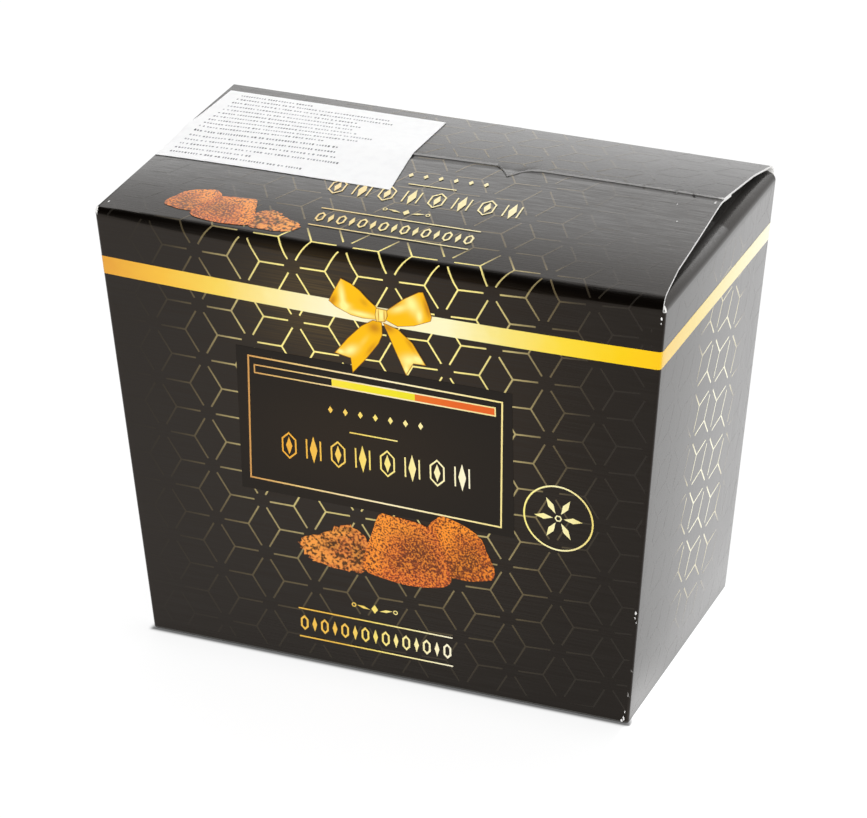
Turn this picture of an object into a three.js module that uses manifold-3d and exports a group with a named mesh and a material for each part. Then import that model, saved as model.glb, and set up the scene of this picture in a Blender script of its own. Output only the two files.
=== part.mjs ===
// A shut folding carton of black card for sweets, wider at the top than at the base, with a
// plain paper label stuck across its lid. Millimetres. X is the width, the front faces -Y,
// Z is up, and the origin lies under the middle of the base.

import * as THREE from 'three';
import { mergeVertices } from 'three/addons/utils/BufferGeometryUtils.js';
import Module from 'manifold-3d';

const wasm = await Module();
wasm.setup();

// The tub: four flat panels that lean out towards the top.
const HEIGHT = 112;
const TOP_WIDTH = 140;
const BASE_WIDTH = 122;
const TOP_DEPTH = 77;
const BASE_DEPTH = 69.5;
const CARD = 0.5;
const CORNER_ROUND = 0.8;
const BASE_ROUND = 0.7;

// The side panels fold inwards as dust flaps. The right one springs up and lifts the lid.
const LEFT_FOLD = 0.5;
const RIGHT_FOLD = 2.2;
const DUST_FLAP_SLOPE = 0.27;
const DUST_FLAP_SLOPE_AT_ENDS = 0.1;

// The lid: a front flap and a rear flap that meet in a low ridge behind the middle.
const LID_INSET_LEFT = 0.6;
const LID_INSET_RIGHT = 2.4;
const FRONT_FOLD_DEPTH = 3.4;
const FRONT_FOLD_DEPTH_LEFT = 1.2;
const FRONT_FOLD_DROP = 1.8;
const FRONT_FOLD_SAG = 2.1;
const FRONT_EDGE_LOW = 0.1;
const FRONT_EDGE_DIP = 0.9;
const FRONT_EDGE_LIFT = 0.7;
const RIDGE_Y = 5;
const RIDGE_RISE = 5.9;
const LEFT_END_RISE = 0.6;
const FLAP_BOW = 0.3;
const SEAM_Y = 8;
const SEAM_SKEW = 0.013;
const SEAM_STEP = 0.4;
const SEAM_LAP = 4;
const TONGUE_X = 16.4;
const TONGUE_HALF_WIDTH = 4.3;
const TONGUE_LENGTH = 5.6;
const BACK_FOLD_DEPTH = 1.2;
const BACK_FOLD_DROP = 1.2;
const BACK_EDGE_RISE = 0.6;
const BACK_EDGE_LIFT = 0.8;

// Slivers thinner than this are taken out where the flaps join the tub.
const SLIVER = 0.02;

// The crease of each fold stands this much proud of the panel under it.
const CREASE_BULGE = 0.1;

// How finely the tub's curved top and the rounded folds are divided.
const LEFT_STEPS = 5;
const RIGHT_STEPS = 7;
const FLAP_STEPS = 4;
const FOLD_STEPS = 3;

// The label lies on both flaps and just reaches the lid's left edge.
const LABEL_THICKNESS = 0.25;
const LABEL_GAP = 0.3;
const LABEL_BACK_EDGE = [new THREE.Vector2(-68, 33.2), new THREE.Vector2(-11.2, 32.4)];
const LABEL_FRONT_EDGE = [new THREE.Vector2(-69.2, -7.2), new THREE.Vector2(-8, -9.6)];

const halfWidth = (z) => THREE.MathUtils.lerp(BASE_WIDTH, TOP_WIDTH, z / HEIGHT) / 2;
const halfDepth = (z) => THREE.MathUtils.lerp(BASE_DEPTH, TOP_DEPTH, z / HEIGHT) / 2;

// How far a place lies from the left end (0) to the right end (1) of the lid.
const along = (x) => THREE.MathUtils.clamp(x / TOP_WIDTH + 0.5, 0, 1);

// Numbers spread evenly from one value to another, both included.
const evenly = (from, to, steps) => Array.from(
  { length: steps + 1 },
  (_, i) => THREE.MathUtils.lerp(from, to, i / steps),
);

// A box whose grid lines are moved to the given places and then put in space by a function.
function shapedBox(columns, rows, layers, place) {
  const lists = [columns, rows, layers];
  const box = new THREE.BoxGeometry(1, 1, 1, ...lists.map((list) => list.length - 1));
  const spots = box.attributes.position;
  const read = (list, share) => list[Math.round((share + 0.5) * (list.length - 1))];
  for (let i = 0; i < spots.count; i += 1) {
    const shares = [spots.getX(i), spots.getY(i), spots.getZ(i)];
    const spot = place(...shares.map((share, n) => read(lists[n], share)));
    spots.setXYZ(i, spot.x, spot.y, spot.z);
  }
  return box;
}

function toSolid(geometry) {
  geometry.deleteAttribute('normal');
  geometry.deleteAttribute('uv');
  const merged = mergeVertices(geometry, 1e-4);
  return new wasm.Manifold(
    new wasm.Mesh({
      numProp: 3,
      vertProperties: new Float32Array(merged.attributes.position.array),
      triVerts: new Uint32Array(merged.index.array),
    }),
  );
}

function toGeometry(solid) {
  const mesh = solid.getMesh();
  const geometry = new THREE.BufferGeometry();
  geometry.setAttribute('position', new THREE.BufferAttribute(mesh.vertProperties, 3));
  geometry.setIndex(new THREE.BufferAttribute(mesh.triVerts, 1));
  geometry.computeVertexNormals();
  return geometry;
}

// How far a rounded fold of the given radius has dropped at this distance from its panel.
function foldDrop(distance, radius) {
  const inward = Math.min(Math.max(distance, 0), radius);
  return radius - Math.sqrt(radius ** 2 - (radius - inward) ** 2);
}

// Heights of the lid's outer face.
const bow = (x) => 1 - (1 - along(x)) ** 2;
const ridgeHeight = (x) => HEIGHT + LEFT_END_RISE + (RIDGE_RISE - LEFT_END_RISE) * bow(x);
const frontEdgeHeight = (x) => HEIGHT + FRONT_EDGE_LOW + FRONT_EDGE_LIFT * along(x)
  - FRONT_EDGE_DIP * Math.sin(Math.PI * along(x));
const backEdgeHeight = (x) => HEIGHT + BACK_EDGE_RISE + BACK_EDGE_LIFT * along(x);

// The front fold is tight at the left-hand corner and soft over the rest of its length.
function frontFoldDepth(x) {
  const soft = Math.sqrt(Math.min(along(x) * 4, 1));
  return THREE.MathUtils.lerp(FRONT_FOLD_DEPTH_LEFT, FRONT_FOLD_DEPTH, soft);
}

// Where each fold of the lid begins on its panel.
const frontFoldStart = (x) => HEIGHT - FRONT_FOLD_DROP
  - FRONT_FOLD_SAG * (1 - (x / halfWidth(HEIGHT)) ** 2);
const backFoldStart = HEIGHT - BACK_FOLD_DROP;

// The height of a quarter-oval fold at this distance from its panel.
function foldHeight(distance, depth, start, end) {
  const left = 1 - THREE.MathUtils.clamp(distance / depth, 0, 1);
  return start + (end - start) * Math.sqrt(1 - left ** 2);
}

function frontFlapHeight(x, y) {
  const edge = frontFoldDepth(x) - halfDepth(HEIGHT);
  const share = Math.min((y - edge) / (RIDGE_Y - edge), 1);
  const low = frontEdgeHeight(x);
  const sag = FLAP_BOW * along(x) * Math.sin(Math.PI * Math.max(share, 0));
  const pastRidge = Math.max(y - RIDGE_Y, 0);
  return low + (ridgeHeight(x) - low) * share - sag - pastRidge * rearSlope(x);
}

function rearSlope(x) {
  const edge = halfDepth(HEIGHT) - BACK_FOLD_DEPTH;
  return (ridgeHeight(x) - backEdgeHeight(x)) / (edge - RIDGE_Y);
}

// The rear flap lies on the front one at the seam and comes down to its own fold.
function rearFlapHeight(x, y) {
  const edge = halfDepth(HEIGHT) - BACK_FOLD_DEPTH;
  const lift = THREE.MathUtils.clamp((edge - y) / (edge - SEAM_Y), 0, 1);
  return ridgeHeight(x) - rearSlope(x) * (y - RIDGE_Y) + SEAM_STEP * lift;
}

// The rear flap's front edge, with its small pointed tongue.
function seamLine(x) {
  const inside = 1 - Math.abs(x - TONGUE_X) / TONGUE_HALF_WIDTH;
  return SEAM_Y - SEAM_SKEW * x - TONGUE_LENGTH * Math.max(inside, 0);
}

// The dust flap rises inwards from the right-hand fold, most in the middle of the depth. On the
// left the lid lies tight, so the solid rises at once to meet it.
function dustFlapHeight(x, y) {
  const side = halfWidth(HEIGHT);
  if (x < 0) {
    const inward = side + x - LEFT_FOLD;
    return HEIGHT - foldDrop(side + x, LEFT_FOLD) + Math.max(inward, 0);
  }
  const middle = Math.cos((Math.PI / 2) * Math.min(Math.abs(y - RIDGE_Y) / side, 1));
  const slope = THREE.MathUtils.lerp(DUST_FLAP_SLOPE_AT_ENDS, DUST_FLAP_SLOPE, middle ** 4);
  const rise = slope * Math.max(side - RIGHT_FOLD - x, 0);
  return HEIGHT - foldDrop(side - x, RIGHT_FOLD) + rise;
}

// The tub stops inside the thickness of the lid, or at the dust flap where that is lower.
function tubTop(x, y) {
  const lid = y < SEAM_Y ? frontFlapHeight(x, y) : rearFlapHeight(x, y) - SEAM_STEP;
  const fromFront = y + halfDepth(HEIGHT);
  const fromBack = halfDepth(HEIGHT) - y;
  const frontFold = foldHeight(fromFront, frontFoldDepth(x), frontFoldStart(x), frontEdgeHeight(x));
  const backFold = foldHeight(fromBack, BACK_FOLD_DEPTH, backFoldStart, backEdgeHeight(x));
  const onFront = fromFront < frontFoldDepth(x);
  const onBack = fromBack < BACK_FOLD_DEPTH;
  const outer = onFront ? frontFold : onBack ? backFold : lid;
  return Math.min(dustFlapHeight(x, y), outer - CARD / 2);
}

// The tub's grid is closest at its rounded corners, at the front fold and over the right-hand
// dust flap. Its corners and its bottom edges are drawn in a little.
function makeTub() {
  const side = halfWidth(HEIGHT);
  const depth = halfDepth(HEIGHT);
  const columns = [-side, LEFT_FOLD - side, CORNER_ROUND * 2 - side];
  columns.push(...evenly(SEAM_Y - side, TONGUE_X, LEFT_STEPS));
  columns.push(...evenly(side / 2, side - 2 * RIGHT_FOLD, RIGHT_STEPS));
  columns.push(side - RIGHT_FOLD, side - CORNER_ROUND, side);
  const rows = [-depth, ...evenly(CORNER_ROUND - depth, FRONT_FOLD_DEPTH - depth, FOLD_STEPS)];
  rows.push(...evenly(-depth * 0.7, RIDGE_Y, FLAP_STEPS), SEAM_Y, depth / 2);
  rows.push(depth - BACK_FOLD_DEPTH, depth - CORNER_ROUND, depth);
  const belowFold = HEIGHT - 2 * (FRONT_FOLD_DROP + FRONT_FOLD_SAG);
  const cut = CORNER_ROUND * (1 - Math.SQRT1_2);
  return shapedBox(columns, rows, [0, BASE_ROUND, HEIGHT / 2, belowFold, HEIGHT], (x, y, z) => {
    const height = z === HEIGHT ? tubTop(x, y) : z;
    const atSide = Math.abs(x) === side;
    const atFront = Math.abs(y) === depth;
    const inset = (atSide && atFront ? cut : 0) + (z === 0 ? BASE_ROUND : 0);
    return new THREE.Vector3(
      (x / side) * halfWidth(height) - (atSide ? Math.sign(x) * inset : 0),
      (y / depth) * halfDepth(height) - (atFront ? Math.sign(y) * inset : 0),
      height,
    );
  });
}

// Where a share of a lid flap's width lies: its ends are set in from the side panels.
function flapX(share, inset = 1) {
  const gap = share < 0 ? LID_INSET_LEFT : LID_INSET_RIGHT;
  return share * (halfWidth(HEIGHT) - gap * inset);
}

// The front fold and flap. Rows from -1 to 0 turn round the fold, those from 0 to 1 lie on the
// flap, and one more at each end tucks into the tub or under the rear flap.
function makeFrontFlap() {
  const columns = [-1, -0.9, ...evenly(-0.75, 1, 2 * FLAP_STEPS - 1)];
  const rows = [-1.2, ...evenly(-1, 0, FOLD_STEPS), ...evenly(0, 1, FLAP_STEPS).slice(1), 1.1];
  const depth = halfDepth(HEIGHT);
  return shapedBox(columns, rows, [1, 0], (share, row, under) => {
    if (row >= 0) {
      const x = flapX(share);
      const edge = frontFoldDepth(x) - depth;
      const y = row > 1 ? SEAM_Y + SEAM_LAP : edge + (RIDGE_Y - edge) * row;
      return new THREE.Vector3(x, y, frontFlapHeight(x, y) - under * CARD);
    }
    const x = flapX(share, 1 + Math.max(row, -1));
    const low = frontFoldStart(x);
    const turn = (Math.PI / 2) * (1 + Math.max(row, -1));
    const reach = new THREE.Vector2(frontFoldDepth(x), frontEdgeHeight(x) - low);
    const inside = under * CARD + (row < -1 ? 2 * CARD : 0) - CREASE_BULGE;
    return new THREE.Vector3(
      x,
      inside - halfDepth(low) + (reach.x - inside) * (1 - Math.cos(turn)),
      low - (row < -1 ? CARD : 0) + (reach.y - under * CARD) * Math.sin(turn),
    );
  });
}

// The rear flap and fold. Rows from 0 to 1 lie on the flap, those from 1 to 2 turn round the
// fold, and the last one tucks into the tub.
function makeRearFlap() {
  const reach = halfWidth(HEIGHT) - LID_INSET_RIGHT;
  const tongue = evenly(TONGUE_X - TONGUE_HALF_WIDTH, TONGUE_X + TONGUE_HALF_WIDTH, 2);
  const columns = [...evenly(-1, 0, FLAP_STEPS), ...tongue.map((x) => x / reach)];
  columns.push(...evenly(0.5, 1, FLAP_STEPS));
  const rows = [...evenly(0, 1, FLAP_STEPS), ...evenly(1, 2, FOLD_STEPS).slice(1), 2.2];
  const edge = halfDepth(HEIGHT) - BACK_FOLD_DEPTH;
  return shapedBox(columns, rows, [1, 0], (share, row, under) => {
    if (row <= 1) {
      const x = flapX(share);
      const y = seamLine(x) + (edge - seamLine(x)) * row;
      return new THREE.Vector3(x, y, rearFlapHeight(x, y) - under * CARD);
    }
    const x = flapX(share, Math.max(2 - row, 0));
    const low = backFoldStart;
    const turn = (Math.PI / 2) * Math.min(row - 1, 1);
    const inside = under * CARD + (row > 2 ? 2 * CARD : 0);
    return new THREE.Vector3(
      x,
      edge + (halfDepth(low) + CREASE_BULGE - inside - edge) * Math.sin(turn),
      low - (row > 2 ? CARD : 0) + (backEdgeHeight(x) - under * CARD - low) * Math.cos(turn),
    );
  });
}

// The label follows the flaps, with a close pair of rows where it steps over the seam.
function makeLabel() {
  const columns = evenly(0, 1, FLAP_STEPS + 1);
  const rows = [0, 0.15, 0.3, 0.36, 0.5, 0.75, 1];
  const atLeft = new THREE.Vector2();
  const spot = new THREE.Vector2();
  return shapedBox(columns, rows, [0, 1], (across, back, up) => {
    atLeft.lerpVectors(LABEL_FRONT_EDGE[0], LABEL_BACK_EDGE[0], back);
    spot.lerpVectors(LABEL_FRONT_EDGE[1], LABEL_BACK_EDGE[1], back).lerp(atLeft, 1 - across);
    const onFront = spot.y < RIDGE_Y;
    const under = onFront ? frontFlapHeight(spot.x, spot.y) : rearFlapHeight(spot.x, spot.y);
    return new THREE.Vector3(spot.x, spot.y, under + LABEL_GAP + up * LABEL_THICKNESS);
  });
}

const card = new THREE.MeshStandardMaterial({ color: '#2e2825', roughness: 0.35, metalness: 0 });
card.name = 'printed_card';
const paper = new THREE.MeshStandardMaterial({ color: '#f6f6f4', roughness: 0.8, metalness: 0 });
paper.name = 'label_paper';

function named(name, solid, material) {
  const mesh = new THREE.Mesh(toGeometry(solid), material);
  mesh.name = name;
  return mesh;
}

const carton = [makeTub(), makeFrontFlap(), makeRearFlap()]
  .map(toSolid)
  .reduce((whole, piece) => whole.add(piece))
  .simplify(SLIVER);

const pack = new THREE.Group();
pack.add(named('carton', carton, card));
pack.add(named('label', toSolid(makeLabel()), paper));

export default pack;
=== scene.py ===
"""The looks of a shut folding gift carton: printed black card, gold print and a paper label.

Every piece is laid on the outer form of the folded card, which is worked out from the carton's
own sizes. Metres throughout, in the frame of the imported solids: X is the width, the front faces
-Y and Z is up.
"""

import logging
import math
import random
from abc import ABC, abstractmethod
from collections.abc import Callable, Iterable, Sequence
from dataclasses import dataclass, replace
from enum import Enum

import bmesh
import bpy
from mathutils import Matrix, Vector
from mathutils.geometry import interpolate_bezier


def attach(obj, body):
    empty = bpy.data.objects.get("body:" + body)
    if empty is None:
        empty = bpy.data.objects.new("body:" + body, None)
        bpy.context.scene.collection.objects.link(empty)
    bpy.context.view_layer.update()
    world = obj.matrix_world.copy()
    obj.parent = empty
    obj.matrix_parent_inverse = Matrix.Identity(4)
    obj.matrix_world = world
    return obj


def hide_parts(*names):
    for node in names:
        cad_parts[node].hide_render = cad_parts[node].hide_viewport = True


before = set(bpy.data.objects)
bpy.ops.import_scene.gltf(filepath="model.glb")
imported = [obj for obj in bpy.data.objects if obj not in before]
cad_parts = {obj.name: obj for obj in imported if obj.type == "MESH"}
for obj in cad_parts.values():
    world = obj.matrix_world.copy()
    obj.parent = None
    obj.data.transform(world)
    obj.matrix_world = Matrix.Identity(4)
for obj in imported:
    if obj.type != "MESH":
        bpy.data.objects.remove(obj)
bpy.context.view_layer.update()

LOG = logging.getLogger("gift_carton")
MM = 0.001
BODY = "root"
CARD_SLOT = "printed_card"
PAPER_SLOT = "label_paper"
SMOOTH_ANGLE = math.radians(35)
QUARTER_HANDLE = 0.5523

Colour = tuple[float, float, float]
Place = tuple[float, float]


def rgb(red: int, green: int, blue: int) -> Colour:
    """A colour as the eye reads it, 0 to 255 a channel, turned to the linear values of light.

    Args:
        red: Red.
        green: Green.
        blue: Blue.

    Returns:
        The linear colour.
    """
    def linear(level: int) -> float:
        """One channel's linear value."""
        share = level / 255
        return share / 12.92 if share <= 0.04045 else ((share + 0.055) / 1.055) ** 2.4
    return linear(red), linear(green), linear(blue)


def lerp(start: float, end: float, share: float) -> float:
    """The value at a share of the way from start to end."""
    return start + (end - start) * share


def clamp(value: float, low: float = 0.0, high: float = 1.0) -> float:
    """The value, kept between low and high."""
    return max(low, min(high, value))


def soft_min(first: float, second: float, softness: float) -> float:
    """The lower of two values, rounded off where they cross."""
    return (first + second - math.hypot(first - second, softness)) / 2


class Side(Enum):
    """The carton's four upright panels, by the way that each one faces."""

    FRONT = "front"
    RIGHT = "right"
    BACK = "back"
    LEFT = "left"


@dataclass(frozen=True)
class FoldedForm:
    """The outer form of the folded card: its panels, its folds and its two lid flaps."""

    height: float = 112 * MM
    top_width: float = 140 * MM
    base_width: float = 122 * MM
    top_depth: float = 77 * MM
    base_depth: float = 69.5 * MM
    card: float = 0.5 * MM
    corner_round: float = 0.8 * MM
    base_round: float = 0.7 * MM
    inset_left: float = 0.8 * MM
    inset_right: float = 2.4 * MM
    front_fold: float = 3.4 * MM
    front_fold_left: float = 1.2 * MM
    front_fold_drop: float = 1.8 * MM
    front_fold_sag: float = 2.1 * MM
    front_edge: float = 0.1 * MM
    front_edge_dip: float = 0.9 * MM
    front_edge_lift: float = 0.7 * MM
    ridge_y: float = 5 * MM
    ridge_rise: float = 5.9 * MM
    ridge_rise_left: float = 0.6 * MM
    ridge_soft: float = 0.3 * MM
    flap_bow: float = 0.3 * MM
    seam_y: float = 8 * MM
    seam_skew: float = 0.013
    seam_step: float = 0.4 * MM
    seam_tuck: float = 0.15 * MM
    tongue_x: float = 16.4 * MM
    tongue_half_width: float = 4.3 * MM
    tongue_length: float = 5.6 * MM
    back_fold: float = 1.2 * MM
    back_edge: float = 0.6 * MM
    back_edge_lift: float = 0.8 * MM
    dust_fold_left: float = 0.5 * MM
    dust_fold_right: float = 2.2 * MM
    dust_slope: float = 0.27
    dust_slope_at_ends: float = 0.1
    dust_reach: float = 24 * MM
    dust_taper: float = 4.5 * MM

    def half_width(self, z: float) -> float:
        """Half the width between the side panels at a height."""
        return lerp(self.base_width, self.top_width, z / self.height) / 2

    def half_depth(self, z: float) -> float:
        """Half the depth between the front and back panels at a height."""
        return lerp(self.base_depth, self.top_depth, z / self.height) / 2

    def along(self, x: float) -> float:
        """How far a place lies from the lid's left end, 0, to its right end, 1."""
        return clamp(x / self.top_width + 0.5)

    def ridge_height(self, x: float) -> float:
        """The height of the low ridge, which rises from left to right."""
        bow = 1 - (1 - self.along(x)) ** 2
        return self.height + lerp(self.ridge_rise_left, self.ridge_rise, bow)

    def front_edge_height(self, x: float) -> float:
        """The height of the lid where it leaves the front fold.

        Args:
            x: The place along the width.

        Returns:
            The height.
        """
        along = self.along(x)
        dip = self.front_edge_dip * math.sin(math.pi * along)
        return self.height + self.front_edge + self.front_edge_lift * along - dip

    def back_edge_height(self, x: float) -> float:
        """The height of the lid where it leaves the back fold."""
        return self.height + self.back_edge + self.back_edge_lift * self.along(x)

    def front_fold_depth(self, x: float) -> float:
        """How deep the front fold is: tight at the left corner, soft elsewhere."""
        soft = math.sin(math.pi / 2 * min(self.along(x) * 4, 1))
        return lerp(self.front_fold_left, self.front_fold, soft)

    def front_edge_y(self, x: float) -> float:
        """Where the front fold ends and the flat of the front flap begins."""
        return self.front_fold_depth(x) - self.top_depth / 2

    def front_fold_start(self, x: float) -> float:
        """The height at which the front fold begins."""
        middle = 1 - (2 * x / self.top_width) ** 2
        return self.height - self.front_fold_drop - self.front_fold_sag * middle

    def back_fold_start(self) -> float:
        """The height at which the back fold begins."""
        return self.height - self.back_fold

    def rear_slope(self, x: float) -> float:
        """How steeply the rear flap comes down towards the back."""
        run = self.top_depth / 2 - self.back_fold - self.ridge_y
        return (self.ridge_height(x) - self.back_edge_height(x)) / run

    def lid_height(self, x: float, y: float) -> float:
        """The height of the lid's face at a place, without the step at the seam.

        Args:
            x: The place along the width.
            y: The place along the depth.

        Returns:
            The height.
        """
        edge = self.front_edge_y(x)
        share = (y - edge) / (self.ridge_y - edge)
        low, ridge = self.front_edge_height(x), self.ridge_height(x)
        sag = self.flap_bow * self.along(x) * math.sin(math.pi * clamp(share))
        front = lerp(low, ridge, share) - sag
        rear = ridge - self.rear_slope(x) * (y - self.ridge_y)
        return soft_min(front, rear, self.ridge_soft)

    def seam_line(self, x: float) -> float:
        """Where the rear flap's front edge lies, with its small pointed tongue."""
        inside = 1 - abs(x - self.tongue_x) / self.tongue_half_width
        return self.seam_y - self.seam_skew * x - self.tongue_length * max(inside, 0)

    def rear_height(self, x: float, y: float) -> float:
        """The height of the rear flap's face, which lies on the front flap at the seam.

        Args:
            x: The place along the width.
            y: The place along the depth.

        Returns:
            The height.
        """
        edge = self.top_depth / 2 - self.back_fold
        lift = clamp((edge - y) / (edge - self.seam_y))
        return self.lid_height(x, y) + self.seam_step * lift

    def turn(self, start: Place, end: Place, slope: float, share: float) -> Place:
        """A point on a fold that turns from upright to a slope.

        Args:
            start: The fold's beginning, as distance inwards and height.
            end: Its end, in the same way.
            slope: The rise of the flap that it runs into.
            share: How far round the fold the point lies.

        Returns:
            The point, as distance inwards and height.
        """
        run, rise = end[0] - start[0], end[1] - start[1]
        leaving = Vector((1.0, slope)).normalized() * run * QUARTER_HANDLE
        points = (
            Vector(start),
            Vector((start[0], start[1] + rise * QUARTER_HANDLE)),
            Vector(end) - leaving,
            Vector(end),
        )
        left = 1 - share
        weights = (left ** 3, 3 * left ** 2 * share, 3 * left * share ** 2, share ** 3)
        place = sum((p * w for p, w in zip(points, weights)), Vector((0.0, 0.0)))
        return place.x, place.y

    @staticmethod
    def turn_length(start: Place, end: Place) -> float:
        """The developed length of a fold between two points."""
        run, rise = end[0] - start[0], end[1] - start[1]
        return math.pi / 2 * math.sqrt((run ** 2 + rise ** 2) / 2)


class Surface(ABC):
    """A part of the card's outer surface that print is laid on, with two coordinates of its own."""

    step: float = 0.05 * MM

    def __init__(self, form: FoldedForm) -> None:
        """Takes the folded form that the surface belongs to."""
        self.form = form

    @abstractmethod
    def point(self, across: float, up: float) -> Vector:
        """The point of the surface at a place of the flat print."""

    def lifted(self, across: float, up: float, lift: float) -> Vector:
        """A point that stands proud of the surface by a lift.

        Args:
            across: The place across the print.
            up: The place up the print.
            lift: The distance off the surface.

        Returns:
            The point.
        """
        e = self.step
        wide = self.point(across + e, up) - self.point(across - e, up)
        tall = self.point(across, up + e) - self.point(across, up - e)
        return self.point(across, up) + wide.cross(tall).normalized() * lift


class LidPlan(Surface):
    """The front lid flap as it is seen from above, by its places in the frame."""

    def point(self, across: float, up: float) -> Vector:
        """The point of the lid above a place."""
        return Vector((across, up, self.form.lid_height(across, up)))


class Face(Surface):
    """One panel with the fold and the flap above it, unrolled to flat print coordinates.

    Across runs to the right as the panel is looked at, and up follows the card's surface from
    the base, round the fold and over the flap.
    """

    @abstractmethod
    def limits(self, across: float) -> tuple[Place, Place, float]:
        """The fold's start and end, as distance inwards and height, and the flap's slope."""

    @abstractmethod
    def on_panel(self, across: float, up: float) -> Vector:
        """A point on the flat panel."""

    @abstractmethod
    def inwards(self, across: float, distance: float, height: float) -> Vector:
        """A point that lies a distance in from the middle plane, at a height."""

    @abstractmethod
    def flap_height(self, across: float, distance: float) -> float:
        """The height of the flap at a distance."""

    def round_fold(self, across: float, share: float) -> Vector:
        """A point a share of the way round the fold.

        Args:
            across: The place across the print.
            share: How far round the fold, from 0 to 1.

        Returns:
            The point.
        """
        start, end, slope = self.limits(across)
        distance, height = self.form.turn(start, end, slope, share)
        return self.inwards(across, distance, height)

    def on_flap(self, across: float, distance: float) -> Vector:
        """A point on the flap at a distance."""
        return self.inwards(across, distance, self.flap_height(across, distance))

    def point(self, across: float, up: float) -> Vector:
        """The point of the card's surface at a place of the flat print.

        Args:
            across: The place across the print.
            up: The place up the print.

        Returns:
            The point.
        """
        start, end, slope = self.limits(across)
        past = up - start[1]
        if past <= 0:
            return self.on_panel(across, up)
        length = self.form.turn_length(start, end)
        if past < length:
            return self.round_fold(across, past / length)
        return self.on_flap(across, end[0] + (past - length) / math.hypot(1, slope))

    def up_of(self, across: float, distance: float) -> float:
        """The unrolled height of a place on the flap.

        Args:
            across: The place across the print.
            distance: The distance inwards.

        Returns:
            The place up the print.
        """
        start, end, slope = self.limits(across)
        length = self.form.turn_length(start, end)
        return start[1] + length + (distance - end[0]) * math.hypot(1, slope)


class FrontFace(Face):
    """The front panel, the soft front fold and the front lid flap."""

    def limits(self, across: float) -> tuple[Place, Place, float]:
        """The front fold's start, end and the front flap's slope.

        Args:
            across: The place across the print.

        Returns:
            The start, the end and the slope.
        """
        f = self.form
        low, edge = f.front_fold_start(across), f.front_edge_y(across)
        rise = f.ridge_height(across) - f.front_edge_height(across)
        end = (edge, f.lid_height(across, edge))
        return (-f.half_depth(low), low), end, rise / (f.ridge_y - edge)

    def on_panel(self, across: float, up: float) -> Vector:
        """A point on the front panel."""
        return Vector((across, -self.form.half_depth(up), up))

    def inwards(self, across: float, distance: float, height: float) -> Vector:
        """A point at a depth and a height."""
        return Vector((across, distance, height))

    def flap_height(self, across: float, distance: float) -> float:
        """The front flap's height, a little lower where the rear flap covers it.

        Args:
            across: The place across the print.
            distance: The distance inwards.

        Returns:
            The height.
        """
        f = self.form
        under = clamp((distance - f.seam_line(across)) / MM)
        return f.lid_height(across, distance) - f.seam_tuck * under


class BackFace(Face):
    """The back panel, the back fold and the rear lid flap."""

    def limits(self, across: float) -> tuple[Place, Place, float]:
        """The back fold's start, end and the rear flap's slope.

        Args:
            across: The place across the print.

        Returns:
            The start, the end and the slope.
        """
        f = self.form
        low, edge = f.back_fold_start(), f.top_depth / 2 - f.back_fold
        end = (-edge, f.rear_height(-across, edge))
        return (-f.half_depth(low), low), end, f.rear_slope(-across)

    def on_panel(self, across: float, up: float) -> Vector:
        """A point on the back panel."""
        return Vector((-across, self.form.half_depth(up), up))

    def inwards(self, across: float, distance: float, height: float) -> Vector:
        """A point at a depth, counted from behind, and a height."""
        return Vector((-across, -distance, height))

    def flap_height(self, across: float, distance: float) -> float:
        """The rear flap's height."""
        return self.form.rear_height(-across, -distance)


class SideFace(Face):
    """A side panel with its dust flap, which folds in under the lid."""

    def __init__(self, form: FoldedForm, sign: int) -> None:
        """Takes the form, and 1 for the right-hand side or -1 for the left-hand one.

        Args:
            form: The folded form.
            sign: 1 for the right-hand side, -1 for the left-hand one.
        """
        super().__init__(form)
        self.sign = sign
        self.fold = form.dust_fold_right if sign > 0 else form.dust_fold_left

    def slope(self, across: float) -> float:
        """The dust flap's rise, which is most at the middle of its length.

        Args:
            across: The place across the print.

        Returns:
            The slope.
        """
        f = self.form
        if self.sign < 0:
            return f.dust_slope_at_ends
        off = min(abs(self.sign * across - f.ridge_y) / (f.top_width / 2), 1)
        return lerp(f.dust_slope_at_ends, f.dust_slope, math.cos(math.pi / 2 * off) ** 4)

    def limits(self, across: float) -> tuple[Place, Place, float]:
        """The side fold's start, end and the dust flap's slope.

        Args:
            across: The place across the print.

        Returns:
            The start, the end and the slope.
        """
        f = self.form
        low, edge = f.height - self.fold, f.top_width / 2 - self.fold
        return (-f.half_width(low), low), (-edge, f.height), self.slope(across)

    def on_panel(self, across: float, up: float) -> Vector:
        """A point on the side panel."""
        return Vector((self.sign * self.form.half_width(up), self.sign * across, up))

    def inwards(self, across: float, distance: float, height: float) -> Vector:
        """A point at a distance in from the side panel."""
        return Vector((-self.sign * distance, self.sign * across, height))

    def flap_height(self, across: float, distance: float) -> float:
        """The dust flap's height, which stays below the lid.

        Args:
            across: The place across the print.
            distance: The distance inwards.

        Returns:
            The height.
        """
        f = self.form
        edge = f.top_width / 2 - self.fold
        rising = f.height + self.slope(across) * (edge + distance)
        lid = f.lid_height(-self.sign * distance, self.sign * across)
        return soft_min(rising, lid - f.card - f.seam_tuck, f.seam_tuck)


def faces_of(form: FoldedForm) -> dict[Side, Face]:
    """The four faces of a folded form.

    Args:
        form: The folded form.

    Returns:
        The face of each panel.
    """
    return {
        Side.FRONT: FrontFace(form),
        Side.RIGHT: SideFace(form, 1),
        Side.BACK: BackFace(form),
        Side.LEFT: SideFace(form, -1),
    }


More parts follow.
